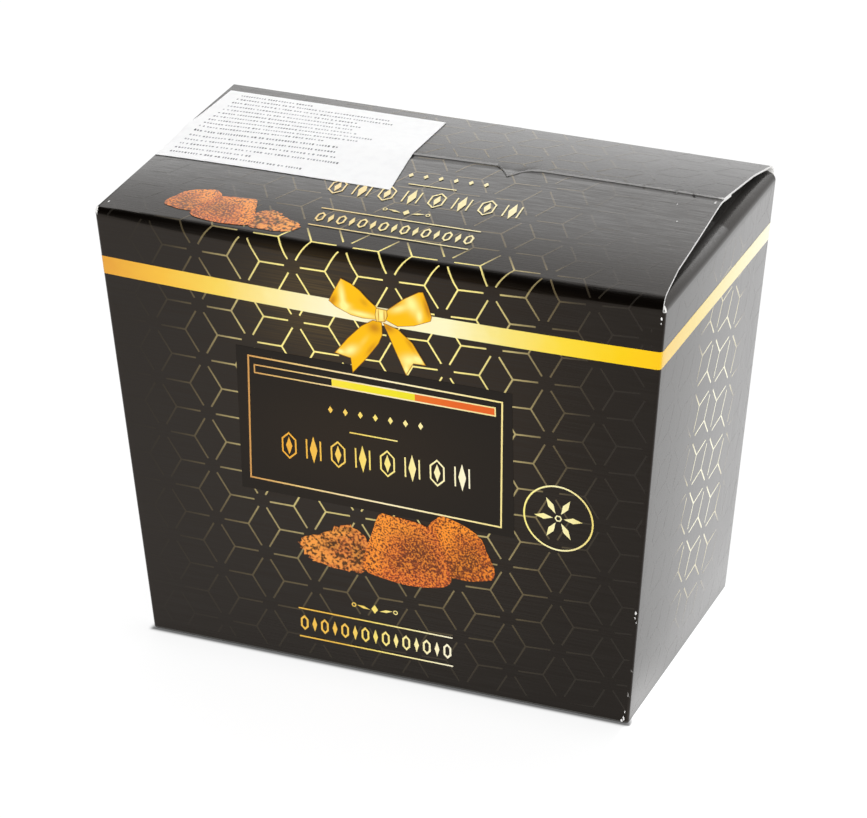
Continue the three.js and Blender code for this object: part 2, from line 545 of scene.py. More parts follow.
class Signal:
    """A socket of a material, with the operators that its maths is written in."""

    def __init__(self, graph: "Graph", socket: bpy.types.NodeSocket) -> None:
        """Takes the graph that the socket belongs to, and the socket."""
        self.graph = graph
        self.socket = socket

    def maths(self, operation: str, *values: "Signal | float") -> "Signal":
        """The result of one Math node on this socket and other values."""
        inputs = dict(enumerate((self, *values)))
        return self.graph.out("ShaderNodeMath", {"operation": operation}, inputs)

    def __add__(self, other: "Signal | float") -> "Signal":
        """Self plus other."""
        return self.maths("ADD", other)

    __radd__ = __add__

    def __sub__(self, other: "Signal | float") -> "Signal":
        """Self minus other."""
        return self.maths("SUBTRACT", other)

    def __rsub__(self, other: float) -> "Signal":
        """Other minus self."""
        return self * -1 + other

    def __mul__(self, other: "Signal | float") -> "Signal":
        """Self times other."""
        return self.maths("MULTIPLY", other)

    __rmul__ = __mul__

    def __truediv__(self, other: "Signal | float") -> "Signal":
        """Self divided by other."""
        return self.maths("DIVIDE", other)

    def __abs__(self) -> "Signal":
        """Self without its sign."""
        return self.maths("ABSOLUTE")

    def least(self, other: "Signal | float") -> "Signal":
        """The smaller of self and other."""
        return self.maths("MINIMUM", other)

    def most(self, other: "Signal | float") -> "Signal":
        """The larger of self and other."""
        return self.maths("MAXIMUM", other)

    def falling(self) -> "Signal":
        """One where self is 0, and falling to nothing as it grows, like a bell curve."""
        return (self * self * -1).maths("EXPONENT")

    def step(self, low: float, high: float) -> "Signal":
        """Nothing below low, one above high and smooth between them.

        Args:
            low: Where the step begins.
            high: Where it ends.

        Returns:
            The share, from 0 to 1.
        """
        settings = {"interpolation_type": "SMOOTHSTEP"}
        inputs = {"Value": self, "From Min": low, "From Max": high}
        return self.graph.out("ShaderNodeMapRange", settings, inputs)


Paint = Signal | Colour


class Graph:
    """The node tree of one material, with the methods that add nodes to it."""

    def __init__(self, owner: bpy.types.Material | bpy.types.World) -> None:
        """Empties the tree of a material or a world.

        Args:
            owner: The material or world.
        """
        owner.use_nodes = True
        self.owner = owner
        self.tree = owner.node_tree
        self.tree.nodes.clear()
        self._place: Signal | None = None

    @classmethod
    def material(cls, name: str) -> "Graph":
        """The empty tree of a new material."""
        return cls(bpy.data.materials.new(name))

    def node(self, kind: str, settings: dict | None = None, inputs: dict | None = None) -> bpy.types.Node:
        """Adds a node.

        Args:
            kind: The node's type.
            settings: Its own settings, which are set first. A ramp's are its stops.
            inputs: The values or links of its sockets, by name or number.

        Returns:
            The new node.
        """
        node = self.tree.nodes.new(kind)
        for key, value in (settings or {}).items():
            if key == "stops":
                self._set_stops(node.color_ramp, value)
            else:
                setattr(node, key, value)
        for key, value in (inputs or {}).items():
            socket = node.inputs[key]
            if isinstance(value, Signal):
                self.tree.links.new(value.socket, socket)
            elif socket.type == "RGBA" and len(value) == 3:
                socket.default_value = (*value, 1.0)
            else:
                socket.default_value = value
        return node

    @staticmethod
    def _set_stops(ramp: bpy.types.ColorRamp, stops: Sequence[tuple[float, Colour]]) -> None:
        """Gives a colour ramp its stops.

        Args:
            ramp: The ramp.
            stops: The places and colours.
        """
        while len(ramp.elements) < len(stops):
            ramp.elements.new(1.0)
        for element, (place, colour) in zip(ramp.elements, stops):
            element.position = place
            element.color = (*colour, 1.0)

    def out(
        self, kind: str, settings: dict | None = None, inputs: dict | None = None, output: int | str = 0
    ) -> Signal:
        """Adds a node and returns one of its outputs."""
        return Signal(self, self.node(kind, settings, inputs).outputs[output])

    def place(self) -> Signal:
        """Object coordinates, in metres.

        Returns:
            The coordinates.
        """
        if self._place is None:
            self._place = self.out("ShaderNodeTexCoord", output="Object")
        return self._place

    def axes(self) -> tuple[Signal, Signal, Signal]:
        """Object coordinates in millimetres, one axis at a time."""
        parts = self.node("ShaderNodeSeparateXYZ", inputs={"Vector": self.place()}).outputs
        return tuple(Signal(self, part) * (1 / MM) for part in parts)

    def mix(self, first: Paint, second: Paint, share: Signal | float) -> Signal:
        """A colour a share of the way from the first to the second."""
        settings = {"data_type": "RGBA"}
        return self.out("ShaderNodeMix", settings, {0: share, 6: first, 7: second}, 2)

    def ramp(self, share: Signal, stops: Sequence[tuple[float, Colour]]) -> Signal:
        """The colour of a ramp at a share."""
        return self.out("ShaderNodeValToRGB", {"stops": stops}, {"Fac": share})

    def stretched(self, scale: Colour) -> Signal:
        """Object coordinates, scaled along each axis."""
        return self.out("ShaderNodeMapping", inputs={"Vector": self.place(), "Scale": scale})

    def noise(self, scale: float, detail: float = 2.0, vector: Signal | None = None) -> Signal:
        """Smooth noise from 0 to 1, with about so many lumps to the metre."""
        inputs = {"Vector": vector or self.place(), "Scale": scale, "Detail": detail}
        return self.out("ShaderNodeTexNoise", {"noise_dimensions": "3D"}, inputs)

    def bump(self, height: Signal, distance: float) -> Signal:
        """A normal bent by a height, whose full range is a distance."""
        return self.out("ShaderNodeBump", inputs={"Height": height, "Distance": distance})

    def finish(self, inputs: dict) -> bpy.types.Material:
        """Ends the tree with a Principled shader of those inputs, and returns the material.

        Args:
            inputs: The shader's inputs.

        Returns:
            The finished material.
        """
        shader = self.out("ShaderNodeBsdfPrincipled", inputs=inputs)
        self.node("ShaderNodeOutputMaterial", inputs={"Surface": shader})
        return self.owner


@dataclass(frozen=True)
class Film:
    """The gloss film over all of the print: a clear shine, with a faint streaky grain on the lid."""

    roughness: float = 0.2
    tint: Colour = (0.46, 0.39, 0.33)
    grain: float = 0.012 * MM
    grain_scale: Colour = (120.0, 4200.0, 4200.0)
    side_scale: Colour = (0.0, 2600.0, 50.0)
    streak_roughness: float = 0.1
    tucked_roughness: float = 0.4

    def coat(self, graph: Graph, colour: Paint, tint: Colour | None = None) -> bpy.types.Material:
        """Puts the film over a colour.

        Args:
            graph: The material's graph.
            colour: The colour of the ink below the film.
            tint: The tint of straight reflections, where it isn't the film's own.

        Returns:
            The finished material.
        """
        x, y, z = graph.axes()
        streaks = graph.noise(1.0, 3.0, graph.stretched(self.grain_scale)).step(0.3, 0.7)
        upright = graph.noise(1.0, 1.0, graph.stretched(self.side_scale)).step(0.2, 0.8)
        # What lies below the lid's right-hand end is tucked out of the light: the dust flap.
        lid_end = (1 - abs(y - 5) / 40).most(0.0) * 5.1 + 112.1
        tucked = (lid_end - z).step(0.0, 0.8) * x.step(66, 66.4) * z.step(112.0, 112.4)
        on_lid = z.step(110.5, 112.0) * (1 - tucked)
        on_sides = abs(x).step(60.6, 61) * z.step(110, 108) * abs(y).step(39, 36)
        rough = streaks * on_lid * self.streak_roughness + tucked * self.tucked_roughness + self.roughness
        lid_gloss, side_gloss = on_lid * (streaks * 0.7 + 0.65), on_sides * (upright * 0.4 + 0.8)
        return graph.finish({
            "Base Color": colour,
            "Roughness": rough,
            "Specular Tint": (*(tint or self.tint), 1.0),
            "Coat Weight": self._gloss(y, lid_gloss, side_gloss),
            "Coat Roughness": self.roughness,
            "Normal": graph.bump(streaks * on_lid * self.grain, 1.0),
        })

    @staticmethod
    def _gloss(y: Signal, on_lid: Signal, on_sides: Signal) -> Signal:
        """Where the varnish lies thickest: up to the ridge, to the back of the lid and of the sides.

        Args:
            y: The place along the depth.
            on_lid: The gloss of the lid.
            on_sides: The gloss of the sides.

        Returns:
            The weight of the coat.
        """
        behind_ridge = y.step(4.6, 5.6)
        front = y.step(-35, 0) * (1 - behind_ridge)
        rear = y.step(-4, 58) * behind_ridge
        return on_lid * (front + rear) + on_sides * y.step(-40, 30) * 0.45


@dataclass(frozen=True)
class BlackCard:
    """Near-black ink, a little warmer in the middle of the front and worn at its upright corner folds; a
    painted reflection lightens the front to the left, and a painted highlight lies along its base fold.
    """

    film: Film = Film()
    ink: Colour = (0.0016, 0.0010, 0.0006)
    # A painted reflection that lightens the front towards the left.
    left_painted_reflection: Colour = (0.014, 0.0115, 0.0098)
    hatch: Colour = (0.016, 0.0145, 0.013)
    # A painted highlight along the front's base fold.
    fold: Colour = (0.13, 0.128, 0.122)
    glow: Colour = (0.024, 0.015, 0.008)
    warm: Colour = (0.08, 0.053, 0.021)
    wear: Colour = (0.62, 0.60, 0.57)
    hatch_scale: Colour = (50.0, 0.0, 3000.0)
    form: FoldedForm = FoldedForm()

    def material(self) -> bpy.types.Material:
        """The card's printed side.

        Returns:
            The finished material.
        """
        graph = Graph.material("printed black card")
        x, y, z = graph.axes()
        front = y.step(-33, -36)
        below = z.step(111.5, 109)
        # The front is lighter to the left as a painted reflection, glows round the bow and is finely hatched
        # across.
        colour = graph.mix(self.ink, self.left_painted_reflection, x.step(50, -70) * front * below)
        broad = ((x - 4) / 36).falling() * ((z - 78) / 50).falling()
        colour = graph.mix(colour, self.glow, broad * front * below)
        close = ((x + 15) / 15).falling() * ((z - 97) / 12).falling()
        colour = graph.mix(colour, self.warm, close * front * below)
        lines = graph.noise(1.0, 2.0, graph.stretched(self.hatch_scale)).step(0.35, 0.65)
        colour = graph.mix(colour, self.hatch, lines * front * below * (x.step(60, 10) * 0.35 + 0.25))
        # A painted highlight along the base fold, just above the floor.
        colour = graph.mix(colour, self.fold, front * z.step(0.1, 0.3) * z.step(0.9, 0.6))
        return self.film.coat(graph, graph.mix(colour, self.wear, self._worn(graph, x, y, z)))

    def _worn(self, graph: Graph, x: Signal, y: Signal, z: Signal) -> Signal:
        """Where the ink has rubbed off along the upright corner folds.

        Args:
            graph: The material's graph.
            x: The place along the width.
            y: The place along the depth.
            z: The height.

        Returns:
            1 where the board shows, 0 elsewhere.
        """
        f = self.form
        width = z * ((f.top_width - f.base_width) / f.height / 2) + f.base_width / 2 / MM
        depth = z * ((f.top_depth - f.base_depth) / f.height / 2) + f.base_depth / 2 / MM
        inside = (width - abs(x)) + (depth - abs(y))
        speck = graph.noise(700.0, 3.0).step(0.66, 0.72)
        patch = graph.noise(38.0, 1.0).step(0.56, 0.66)
        return speck * patch * inside.step(0.9, 0.5)


@dataclass(frozen=True)
class BoardCore:
    """The white uncoated board that shows at cut edges and on the card's inner side."""

    name: str = "cut white board"
    colour: Colour = (0.95, 0.94, 0.92)
    shade: Colour = (0.86, 0.85, 0.83)
    seam_grey: Colour = (0.60, 0.59, 0.58)

    def material(self) -> bpy.types.Material:
        """The bare board, with its short fibres, greyer along the seam.

        Returns:
            The finished material.
        """
        graph = Graph.material(self.name)
        x, y, z = graph.axes()
        fibre = graph.noise(900.0, 4.0)
        colour = graph.mix(self.shade, self.colour, fibre.step(0.3, 0.6))
        # Along the seam the board is greyer, in patches.
        seam = abs(y - 5.5).step(5.5, 4.5) * abs(x).step(66.6, 65.8) * z.step(111, 112)
        worn = graph.noise(140.0, 2.0).step(0.62, 0.7)
        colour = graph.mix(colour, self.seam_grey, seam * (1 - worn * 0.6))
        return graph.finish({
            "Base Color": colour,
            "Roughness": 0.85,
            "Normal": graph.bump(fibre, 0.03 * MM),
        })


@dataclass(frozen=True)
class PrintedLines:
    """Fine gold lines, bright in one place of a panel and fading to the ink's own black."""

    name: str
    middle: Place
    reach: Place
    across: int = 0
    stops: tuple[tuple[float, Colour], ...] = (
        (0.0, (0.014, 0.012, 0.010)), (0.1, (0.04, 0.032, 0.02)), (0.3, (0.13, 0.10, 0.05)),
        (0.6, (0.42, 0.34, 0.15)), (0.95, (0.98, 0.84, 0.28)),
    )
    lid_share: float = 0.3
    strength: float = 1.0
    film: Film = Film()

    def material(self) -> bpy.types.Material:
        """The lines' ink under the film.

        Returns:
            The finished material.
        """
        graph = Graph.material(self.name)
        axes = graph.axes()
        off = abs((axes[self.across] - self.middle[0]) / self.reach[0])
        up = abs((axes[2] - self.middle[1]) / self.reach[1])
        level = (off * off).falling() * (up * up).falling()
        uneven = graph.noise(260.0, 2.0) * 0.3 + 0.85
        inner = axes[1].step(-35.5, -27) * axes[2].step(110, 112)
        level = level * uneven * (1 - inner * (1 - self.lid_share)) * self.strength
        return self.film.coat(graph, graph.ramp(level, self.stops))


@dataclass(frozen=True)
class RampInk:
    """An ink whose colour changes along one axis, as the ribbon's does."""

    name: str
    start: float
    end: float
    stops: tuple[tuple[float, Colour], ...]
    axis: int = 0
    tint: Colour = (1.0, 0.85, 0.25)
    film: Film = Film()

    def material(self) -> bpy.types.Material:
        """The ink under the film.

        Returns:
            The finished material.
        """
        graph = Graph.material(self.name)
        share = (graph.axes()[self.axis] - self.start) / (self.end - self.start)
        mottle = graph.noise(260.0, 2.0) * 0.04 - 0.02
        return self.film.coat(graph, graph.ramp(share + mottle, self.stops), self.tint)


@dataclass(frozen=True)
class Spot:
    """A soft patch of light or shade on a printed figure, in millimetres on its panel."""

    middle: Place
    reach: Place
    turn: float = 0.0
    weight: float = 1.0

    def mask(self, x: Signal, z: Signal) -> Signal:
        """How strongly the patch shows at a place.

        Args:
            x: The place along the width.
            z: The place up the figure.

        Returns:
            The share, from 0 to the patch's weight.
        """
        c, s = math.cos(math.radians(self.turn)), math.sin(math.radians(self.turn))
        right, up = x - self.middle[0], z - self.middle[1]
        long = (right * c + up * s) / self.reach[0]
        short = (up * c - right * s) / self.reach[1]
        return ((long * long + short * short) * -1).maths("EXPONENT") * self.weight

    def moved(self, scale: Place, shift: Place) -> "Spot":
        """The patch, scaled and shifted with its figure.

        Args:
            scale: The scale each way.
            shift: The shift each way.

        Returns:
            The moved patch.
        """
        middle = (self.middle[0] * scale[0] + shift[0], self.middle[1] * scale[1] + shift[1])
        reach = (self.reach[0] * abs(scale[0]), self.reach[1] * scale[1])
        return Spot(middle, reach, math.copysign(self.turn, self.turn * scale[0]), self.weight)


@dataclass(frozen=True)
class SpottedInk:
    """An ink with soft patches of a second and a third colour."""

    name: str
    ground: Colour
    light: Colour
    dark: Colour
    lights: tuple[Spot, ...] = ()
    darks: tuple[Spot, ...] = ()
    grain: float = 0.0
    grain_scale: float = 1900.0
    on_lid: bool = False
    tint: Colour = (1.0, 0.8, 0.25)
    film: Film = Film()

    def material(self) -> bpy.types.Material:
        """The ink under the film.

        Returns:
            The finished material.
        """
        graph = Graph.material(self.name)
        x, y, z = graph.axes()
        up = y if self.on_lid else z
        colour = graph.mix(self.ground, self.light, self._total(self.lights, x, up))
        colour = graph.mix(colour, self.dark, self._total(self.darks, x, up))
        if self.grain:
            grain = (graph.noise(self.grain_scale, 2.0).step(0.36, 0.64) - 0.5) * self.grain
            colour = graph.mix(colour, self.light, (grain * 0.8).most(0.0).least(1.0))
            colour = graph.mix(colour, self.dark, (grain * -1.2).most(0.0).least(1.0))
        return self.film.coat(graph, colour, self.tint)

    @staticmethod
    def _total(spots: Iterable[Spot], x: Signal, z: Signal) -> Signal | float:
        """All patches together, from 0 to 1."""
        masks = [spot.mask(x, z) for spot in spots]
        return sum(masks[1:], masks[0]).least(1.0) if masks else 0.0

    def moved(self, name: str, scale: Place, shift: Place) -> "SpottedInk":
        """The same ink for a figure that is scaled and shifted, on the lid.

        Args:
            name: The new ink's name.
            scale: The scale each way.
            shift: The shift each way.

        Returns:
            The new ink.
        """
        lights = tuple(spot.moved(scale, shift) for spot in self.lights)
        darks = tuple(spot.moved(scale, shift) for spot in self.darks)
        return replace(self, name=name, lights=lights, darks=darks, on_lid=True)


@dataclass(frozen=True)
class LabelPaper:
    """Smooth white label paper, very slightly mottled."""

    colour: Colour = (0.97, 0.97, 0.97)
    shade: Colour = (0.93, 0.93, 0.935)

    def material(self) -> bpy.types.Material:
        """The paper.

        Returns:
            The finished material.
        """
        graph = Graph.material("label paper")
        mottle = graph.noise(420.0, 3.0)
        return graph.finish({
            "Base Color": graph.mix(self.shade, self.colour, mottle.step(0.25, 0.6)),
            "Roughness": 0.7,
            "Normal": graph.bump(mottle, 0.02 * MM),
        })


@dataclass(frozen=True)
class GreyPrint:
    """Weak grey thermal print, uneven from mark to mark."""

    colour: Colour = rgb(92, 92, 98)
    weak: Colour = rgb(172, 172, 178)

    def material(self) -> bpy.types.Material:
        """The print.

        Returns:
            The finished material.
        """
        graph = Graph.material("grey label print")
        uneven = graph.noise(500.0, 2.0).step(0.35, 0.65)
        return graph.finish({"Base Color": graph.mix(self.weak, self.colour, uneven), "Roughness": 0.7})


def settle(name: str, bm: bmesh.types.BMesh, materials: Sequence[bpy.types.Material]) -> bpy.types.Object:
    """Makes a finished bmesh an object at the origin, smooth but for its sharp edges.

    Args:
        name: The object's name.
        bm: The mesh, which is freed.
        materials: The materials of its slots.

    Returns:
        The new object, linked to the scene.
    """
    mesh = bpy.data.meshes.new(name)
    bm.to_mesh(mesh)
    bm.free()
    mesh.shade_smooth()
    mesh.set_sharp_from_angle(angle=SMOOTH_ANGLE)
    for material in materials:
        mesh.materials.append(material)
    piece = bpy.data.objects.new(name, mesh)
    bpy.context.scene.collection.objects.link(piece)
    return piece


def register(piece: bpy.types.Object, slot: str, *nodes: str) -> bpy.types.Object:
    """Makes a piece part of the object: attaches it to its body and hides the solids that it stands for.

    Args:
        piece: The finished piece.
        slot: The record's slot; not used.
        nodes: The nodes that it replaces.

    Returns:
        The same piece.
    """
    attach(piece, BODY)
    if nodes:
        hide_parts(*nodes)
    LOG.info("%s: %d faces", piece.name, len(piece.data.polygons))
    return piece


@dataclass
class FoldedBlank:
    """The card itself: one blank of four panels, a base, two dust flaps and two lid flaps.

    It is built standing straight up with its flaps open, and then folded shut.
    """

    form: FoldedForm
    card: bpy.types.Material
    board: bpy.types.Material
    columns: int = 48
    side_columns: int = 22
    fold_rows: int = 15
    front_rows: tuple[float, ...] = (-30, -24, -18, -12, -6, 0, 3, 3.8, 4.4, 5, 5.6, 6.2, 7, 12)
    rear_rows: tuple[float, ...] = (0.15, 0.3, 0.45, 0.6, 0.7, 0.8, 0.84, 0.88, 0.92, 0.96, 1)
    dust_rows: tuple[float, ...] = (0.02, 0.06, 0.15, 0.3, 0.5, 0.75, 1)
    wall_steps: int = 4
    base_steps: int = 3
    row: float = 1 * MM

    def __post_init__(self) -> None:
        """Works out the upright blank's own sizes."""
        self.faces = faces_of(self.form)
        self.wide = self.form.top_width / 2
        self.deep = self.form.top_depth / 2
        self.flat_ends = self.wide - self.form.corner_round

    def build(self) -> bpy.types.Object:
        """Builds, folds and thickens the blank.

        Returns:
            The finished piece.
        """
        bm = bmesh.new()
        rim = self._raise_walls(bm, self._outline(bm))
        for side in Side:
            self._raise_flap(bm, rim, side)
        for vert in bm.verts:
            vert.co = self._folded(vert.co)
        bmesh.ops.recalc_face_normals(bm, faces=bm.faces)
        piece = settle("folded_card", bm, (self.card, self.board))
        self._thicken(piece)
        return register(piece, CARD_SLOT, "carton")

    def _outline(self, bm: bmesh.types.BMesh) -> list[bmesh.types.BMEdge]:
        """Lays the base, a rectangle with rounded corners, and divides its long edges.

        Args:
            bm: The mesh that is being built.

        Returns:
            The outline's edges.
        """
        scale = Matrix.Diagonal((self.wide, self.deep, 1, 1))
        corners = bmesh.ops.create_grid(bm, x_segments=1, y_segments=1, size=1, matrix=scale)["verts"]
        bmesh.ops.bevel(
            bm, geom=corners, offset=self.form.corner_round, offset_type="OFFSET", affect="VERTICES",
            segments=4, profile=0.5, material=-1,
        )
        for cuts, axis in ((self.columns - 1, 0), (self.side_columns - 1, 1)):
            long = [e for e in bm.edges if abs((e.verts[0].co - e.verts[1].co)[axis]) > self.deep]
            bmesh.ops.subdivide_edges(bm, edges=long, cuts=cuts)
        f = self.form
        for x in (f.tongue_x - f.tongue_half_width, f.tongue_x, f.tongue_x + f.tongue_half_width):
            near = min((v for v in bm.verts if v.co.y > self.deep - MM / 2), key=lambda v: abs(v.co.x - x))
            near.co.x = x
        return [e for e in bm.edges if e.is_boundary]

    def _raise_walls(
        self, bm: bmesh.types.BMesh, edges: list[bmesh.types.BMEdge]
    ) -> list[bmesh.types.BMEdge]:
        """Draws the outline up into the four walls, ring by ring, and returns the top ring.

        Args:
            bm: The mesh that is being built.
            edges: The outline.

        Returns:
            The top ring's edges.
        """
        base = self.form.base_round
        levels = [base * i / self.base_steps for i in range(1, self.base_steps + 1)]
        levels += [lerp(base, self.form.height, i / self.wall_steps) for i in range(1, self.wall_steps + 1)]
        height = 0.0
        for level in levels:
            edges = self._draw_up(bm, edges, level - height)
            height = level
        return edges

    @staticmethod
    def _draw_up(
        bm: bmesh.types.BMesh, edges: list[bmesh.types.BMEdge], rise: float
    ) -> list[bmesh.types.BMEdge]:
        """Extrudes edges straight up and returns the new ones.

        Args:
            bm: The mesh that is being built.
            edges: The edges.
            rise: How far up.

        Returns:
            The new edges.
        """
        new = bmesh.ops.extrude_edge_only(bm, edges=edges)["geom"]
        verts = [g for g in new if isinstance(g, bmesh.types.BMVert)]
        bmesh.ops.translate(bm, verts=verts, vec=(0, 0, rise))
        return [g for g in new if isinstance(g, bmesh.types.BMEdge)]

    def _raise_flap(self, bm: bmesh.types.BMesh, rim: list[bmesh.types.BMEdge], side: Side) -> None:
        """Draws one flap up from its straight part of the rim, row by row.

        Args:
            bm: The mesh that is being built.
            rim: The walls' top ring.
            side: The panel.
        """
        edges = [e for e in rim if all(self._side_of(v.co) is side for v in e.verts)]
        flap = {Side.FRONT: self.front_rows, Side.BACK: self.rear_rows}.get(side, self.dust_rows)
        for _ in range(self.fold_rows + len(flap)):
            edges = self._draw_up(bm, edges, self.row)

    def _side_of(self, place: Vector) -> Side | None:
        """The panel that a place of the upright blank is on, or None on a corner's round.

        Args:
            place: A place of the upright blank.

        Returns:
            The panel, or None.
        """
        tiny = self.form.corner_round * 0.01
        if abs(place.x) <= self.flat_ends + tiny and abs(abs(place.y) - self.deep) < tiny:
            return Side.FRONT if place.y < 0 else Side.BACK
        if abs(abs(place.x) - self.wide) < tiny:
            return Side.RIGHT if place.x > 0 else Side.LEFT
        return None

    def _top_of_wall(self, place: Vector) -> float:
        """Where the wall ends and its fold begins, at a place of the rim.

        Args:
            place: A place of the upright blank.

        Returns:
            The height.
        """
        f = self.form
        ends = f.front_fold_start(place.x) if place.y < 0 else f.back_fold_start()
        sides = f.height - (f.dust_fold_right if place.x > 0 else f.dust_fold_left)
        round_the_corner = clamp((abs(place.x) - self.flat_ends) / f.corner_round)
        return lerp(ends, sides, round_the_corner)

    def _folded(self, place: Vector) -> Vector:
        """Where a point of the upright blank goes when the carton is folded shut.

        Args:
            place: A place of the upright blank.

        Returns:
            The folded place.
        """
        f = self.form
        row = round((place.z - f.height) / self.row)
        if row <= 0:
            height = self._top_of_wall(place) if row == 0 else place.z
            low = max(1 - height / f.base_round, 0.0)
            inset = f.base_round * (1 - math.sqrt(1 - low ** 2))
            return Vector((
                place.x / self.wide * (f.half_width(height) - inset),
                place.y / self.deep * (f.half_depth(height) - inset),
                height,
            ))
        side = self._side_of(place)
        if side in (Side.FRONT, Side.BACK):
            return self._lid_point(side, place.x, row)
        return self._dust_point(side, place.y, row)

    def _lid_point(self, side: Side, x: float, row: int) -> Vector:
        """A point of a lid flap, whose ends are drawn in as it leaves its fold.

        Args:
            side: The panel.
            x: The place along the width.
            row: The row of the flap, from the rim.

        Returns:
            The point.
        """
        f = self.form
        inset = f.inset_right if x > 0 else f.inset_left
        turned = min(row / self.fold_rows, 1.0)
        drawn_in = 0.35 * turned ** 2 + 0.65 * clamp((row - self.fold_rows) / 2)
        x *= lerp(1.0, (self.wide - inset) / self.flat_ends, drawn_in)
        face = self.faces[side]
        across = x if side is Side.FRONT else -x
        if row <= self.fold_rows:
            return face.round_fold(across, turned)
        rank = row - self.fold_rows - 1
        if side is Side.FRONT:
            return face.on_flap(across, self.front_rows[rank] * MM)
        return face.on_flap(across, -lerp(self.deep - f.back_fold, f.seam_line(x), self.rear_rows[rank]))

    def _dust_point(self, side: Side, y: float, row: int) -> Vector:
        """A point of a dust flap, which narrows as it goes in under the lid.

        Args:
            side: The panel.
            y: The place along the depth.
            row: The row of the flap, from the rim.

        Returns:
            The point.
        """
        f = self.form
        face = self.faces[side]
        turned = min(row / self.fold_rows, 1.0)
        share = self.dust_rows[row - self.fold_rows - 1] if row > self.fold_rows else 0.0
        y *= 1 - (0.1 * turned + 0.9 * math.sqrt(share)) * f.dust_taper / self.deep
        across = y * face.sign
        if row <= self.fold_rows:
            return face.round_fold(across, turned)
        edge = self.wide - face.fold
        return face.on_flap(across, -lerp(edge, edge - f.dust_reach, share))

    def _thicken(self, piece: bpy.types.Object) -> None:
        """Gives the folded sheet the card's thickness, with white board inside and at cut edges.

        Args:
            piece: The folded sheet.
        """
        solidify = piece.modifiers.new("card", "SOLIDIFY")
        solidify.thickness = self.form.card
        solidify.offset = -1
        solidify.use_even_offset = True
        solidify.use_quality_normals = True
        solidify.material_offset = 1
        solidify.material_offset_rim = 1
        graph = bpy.context.evaluated_depsgraph_get()
        thick = bpy.data.meshes.new_from_object(piece.evaluated_get(graph))
        piece.modifiers.clear()
        piece.data = thick
        thick.set_sharp_from_angle(angle=SMOOTH_ANGLE)
        even = piece.modifiers.new("even shading", "WEIGHTED_NORMAL")
        even.keep_sharp = True


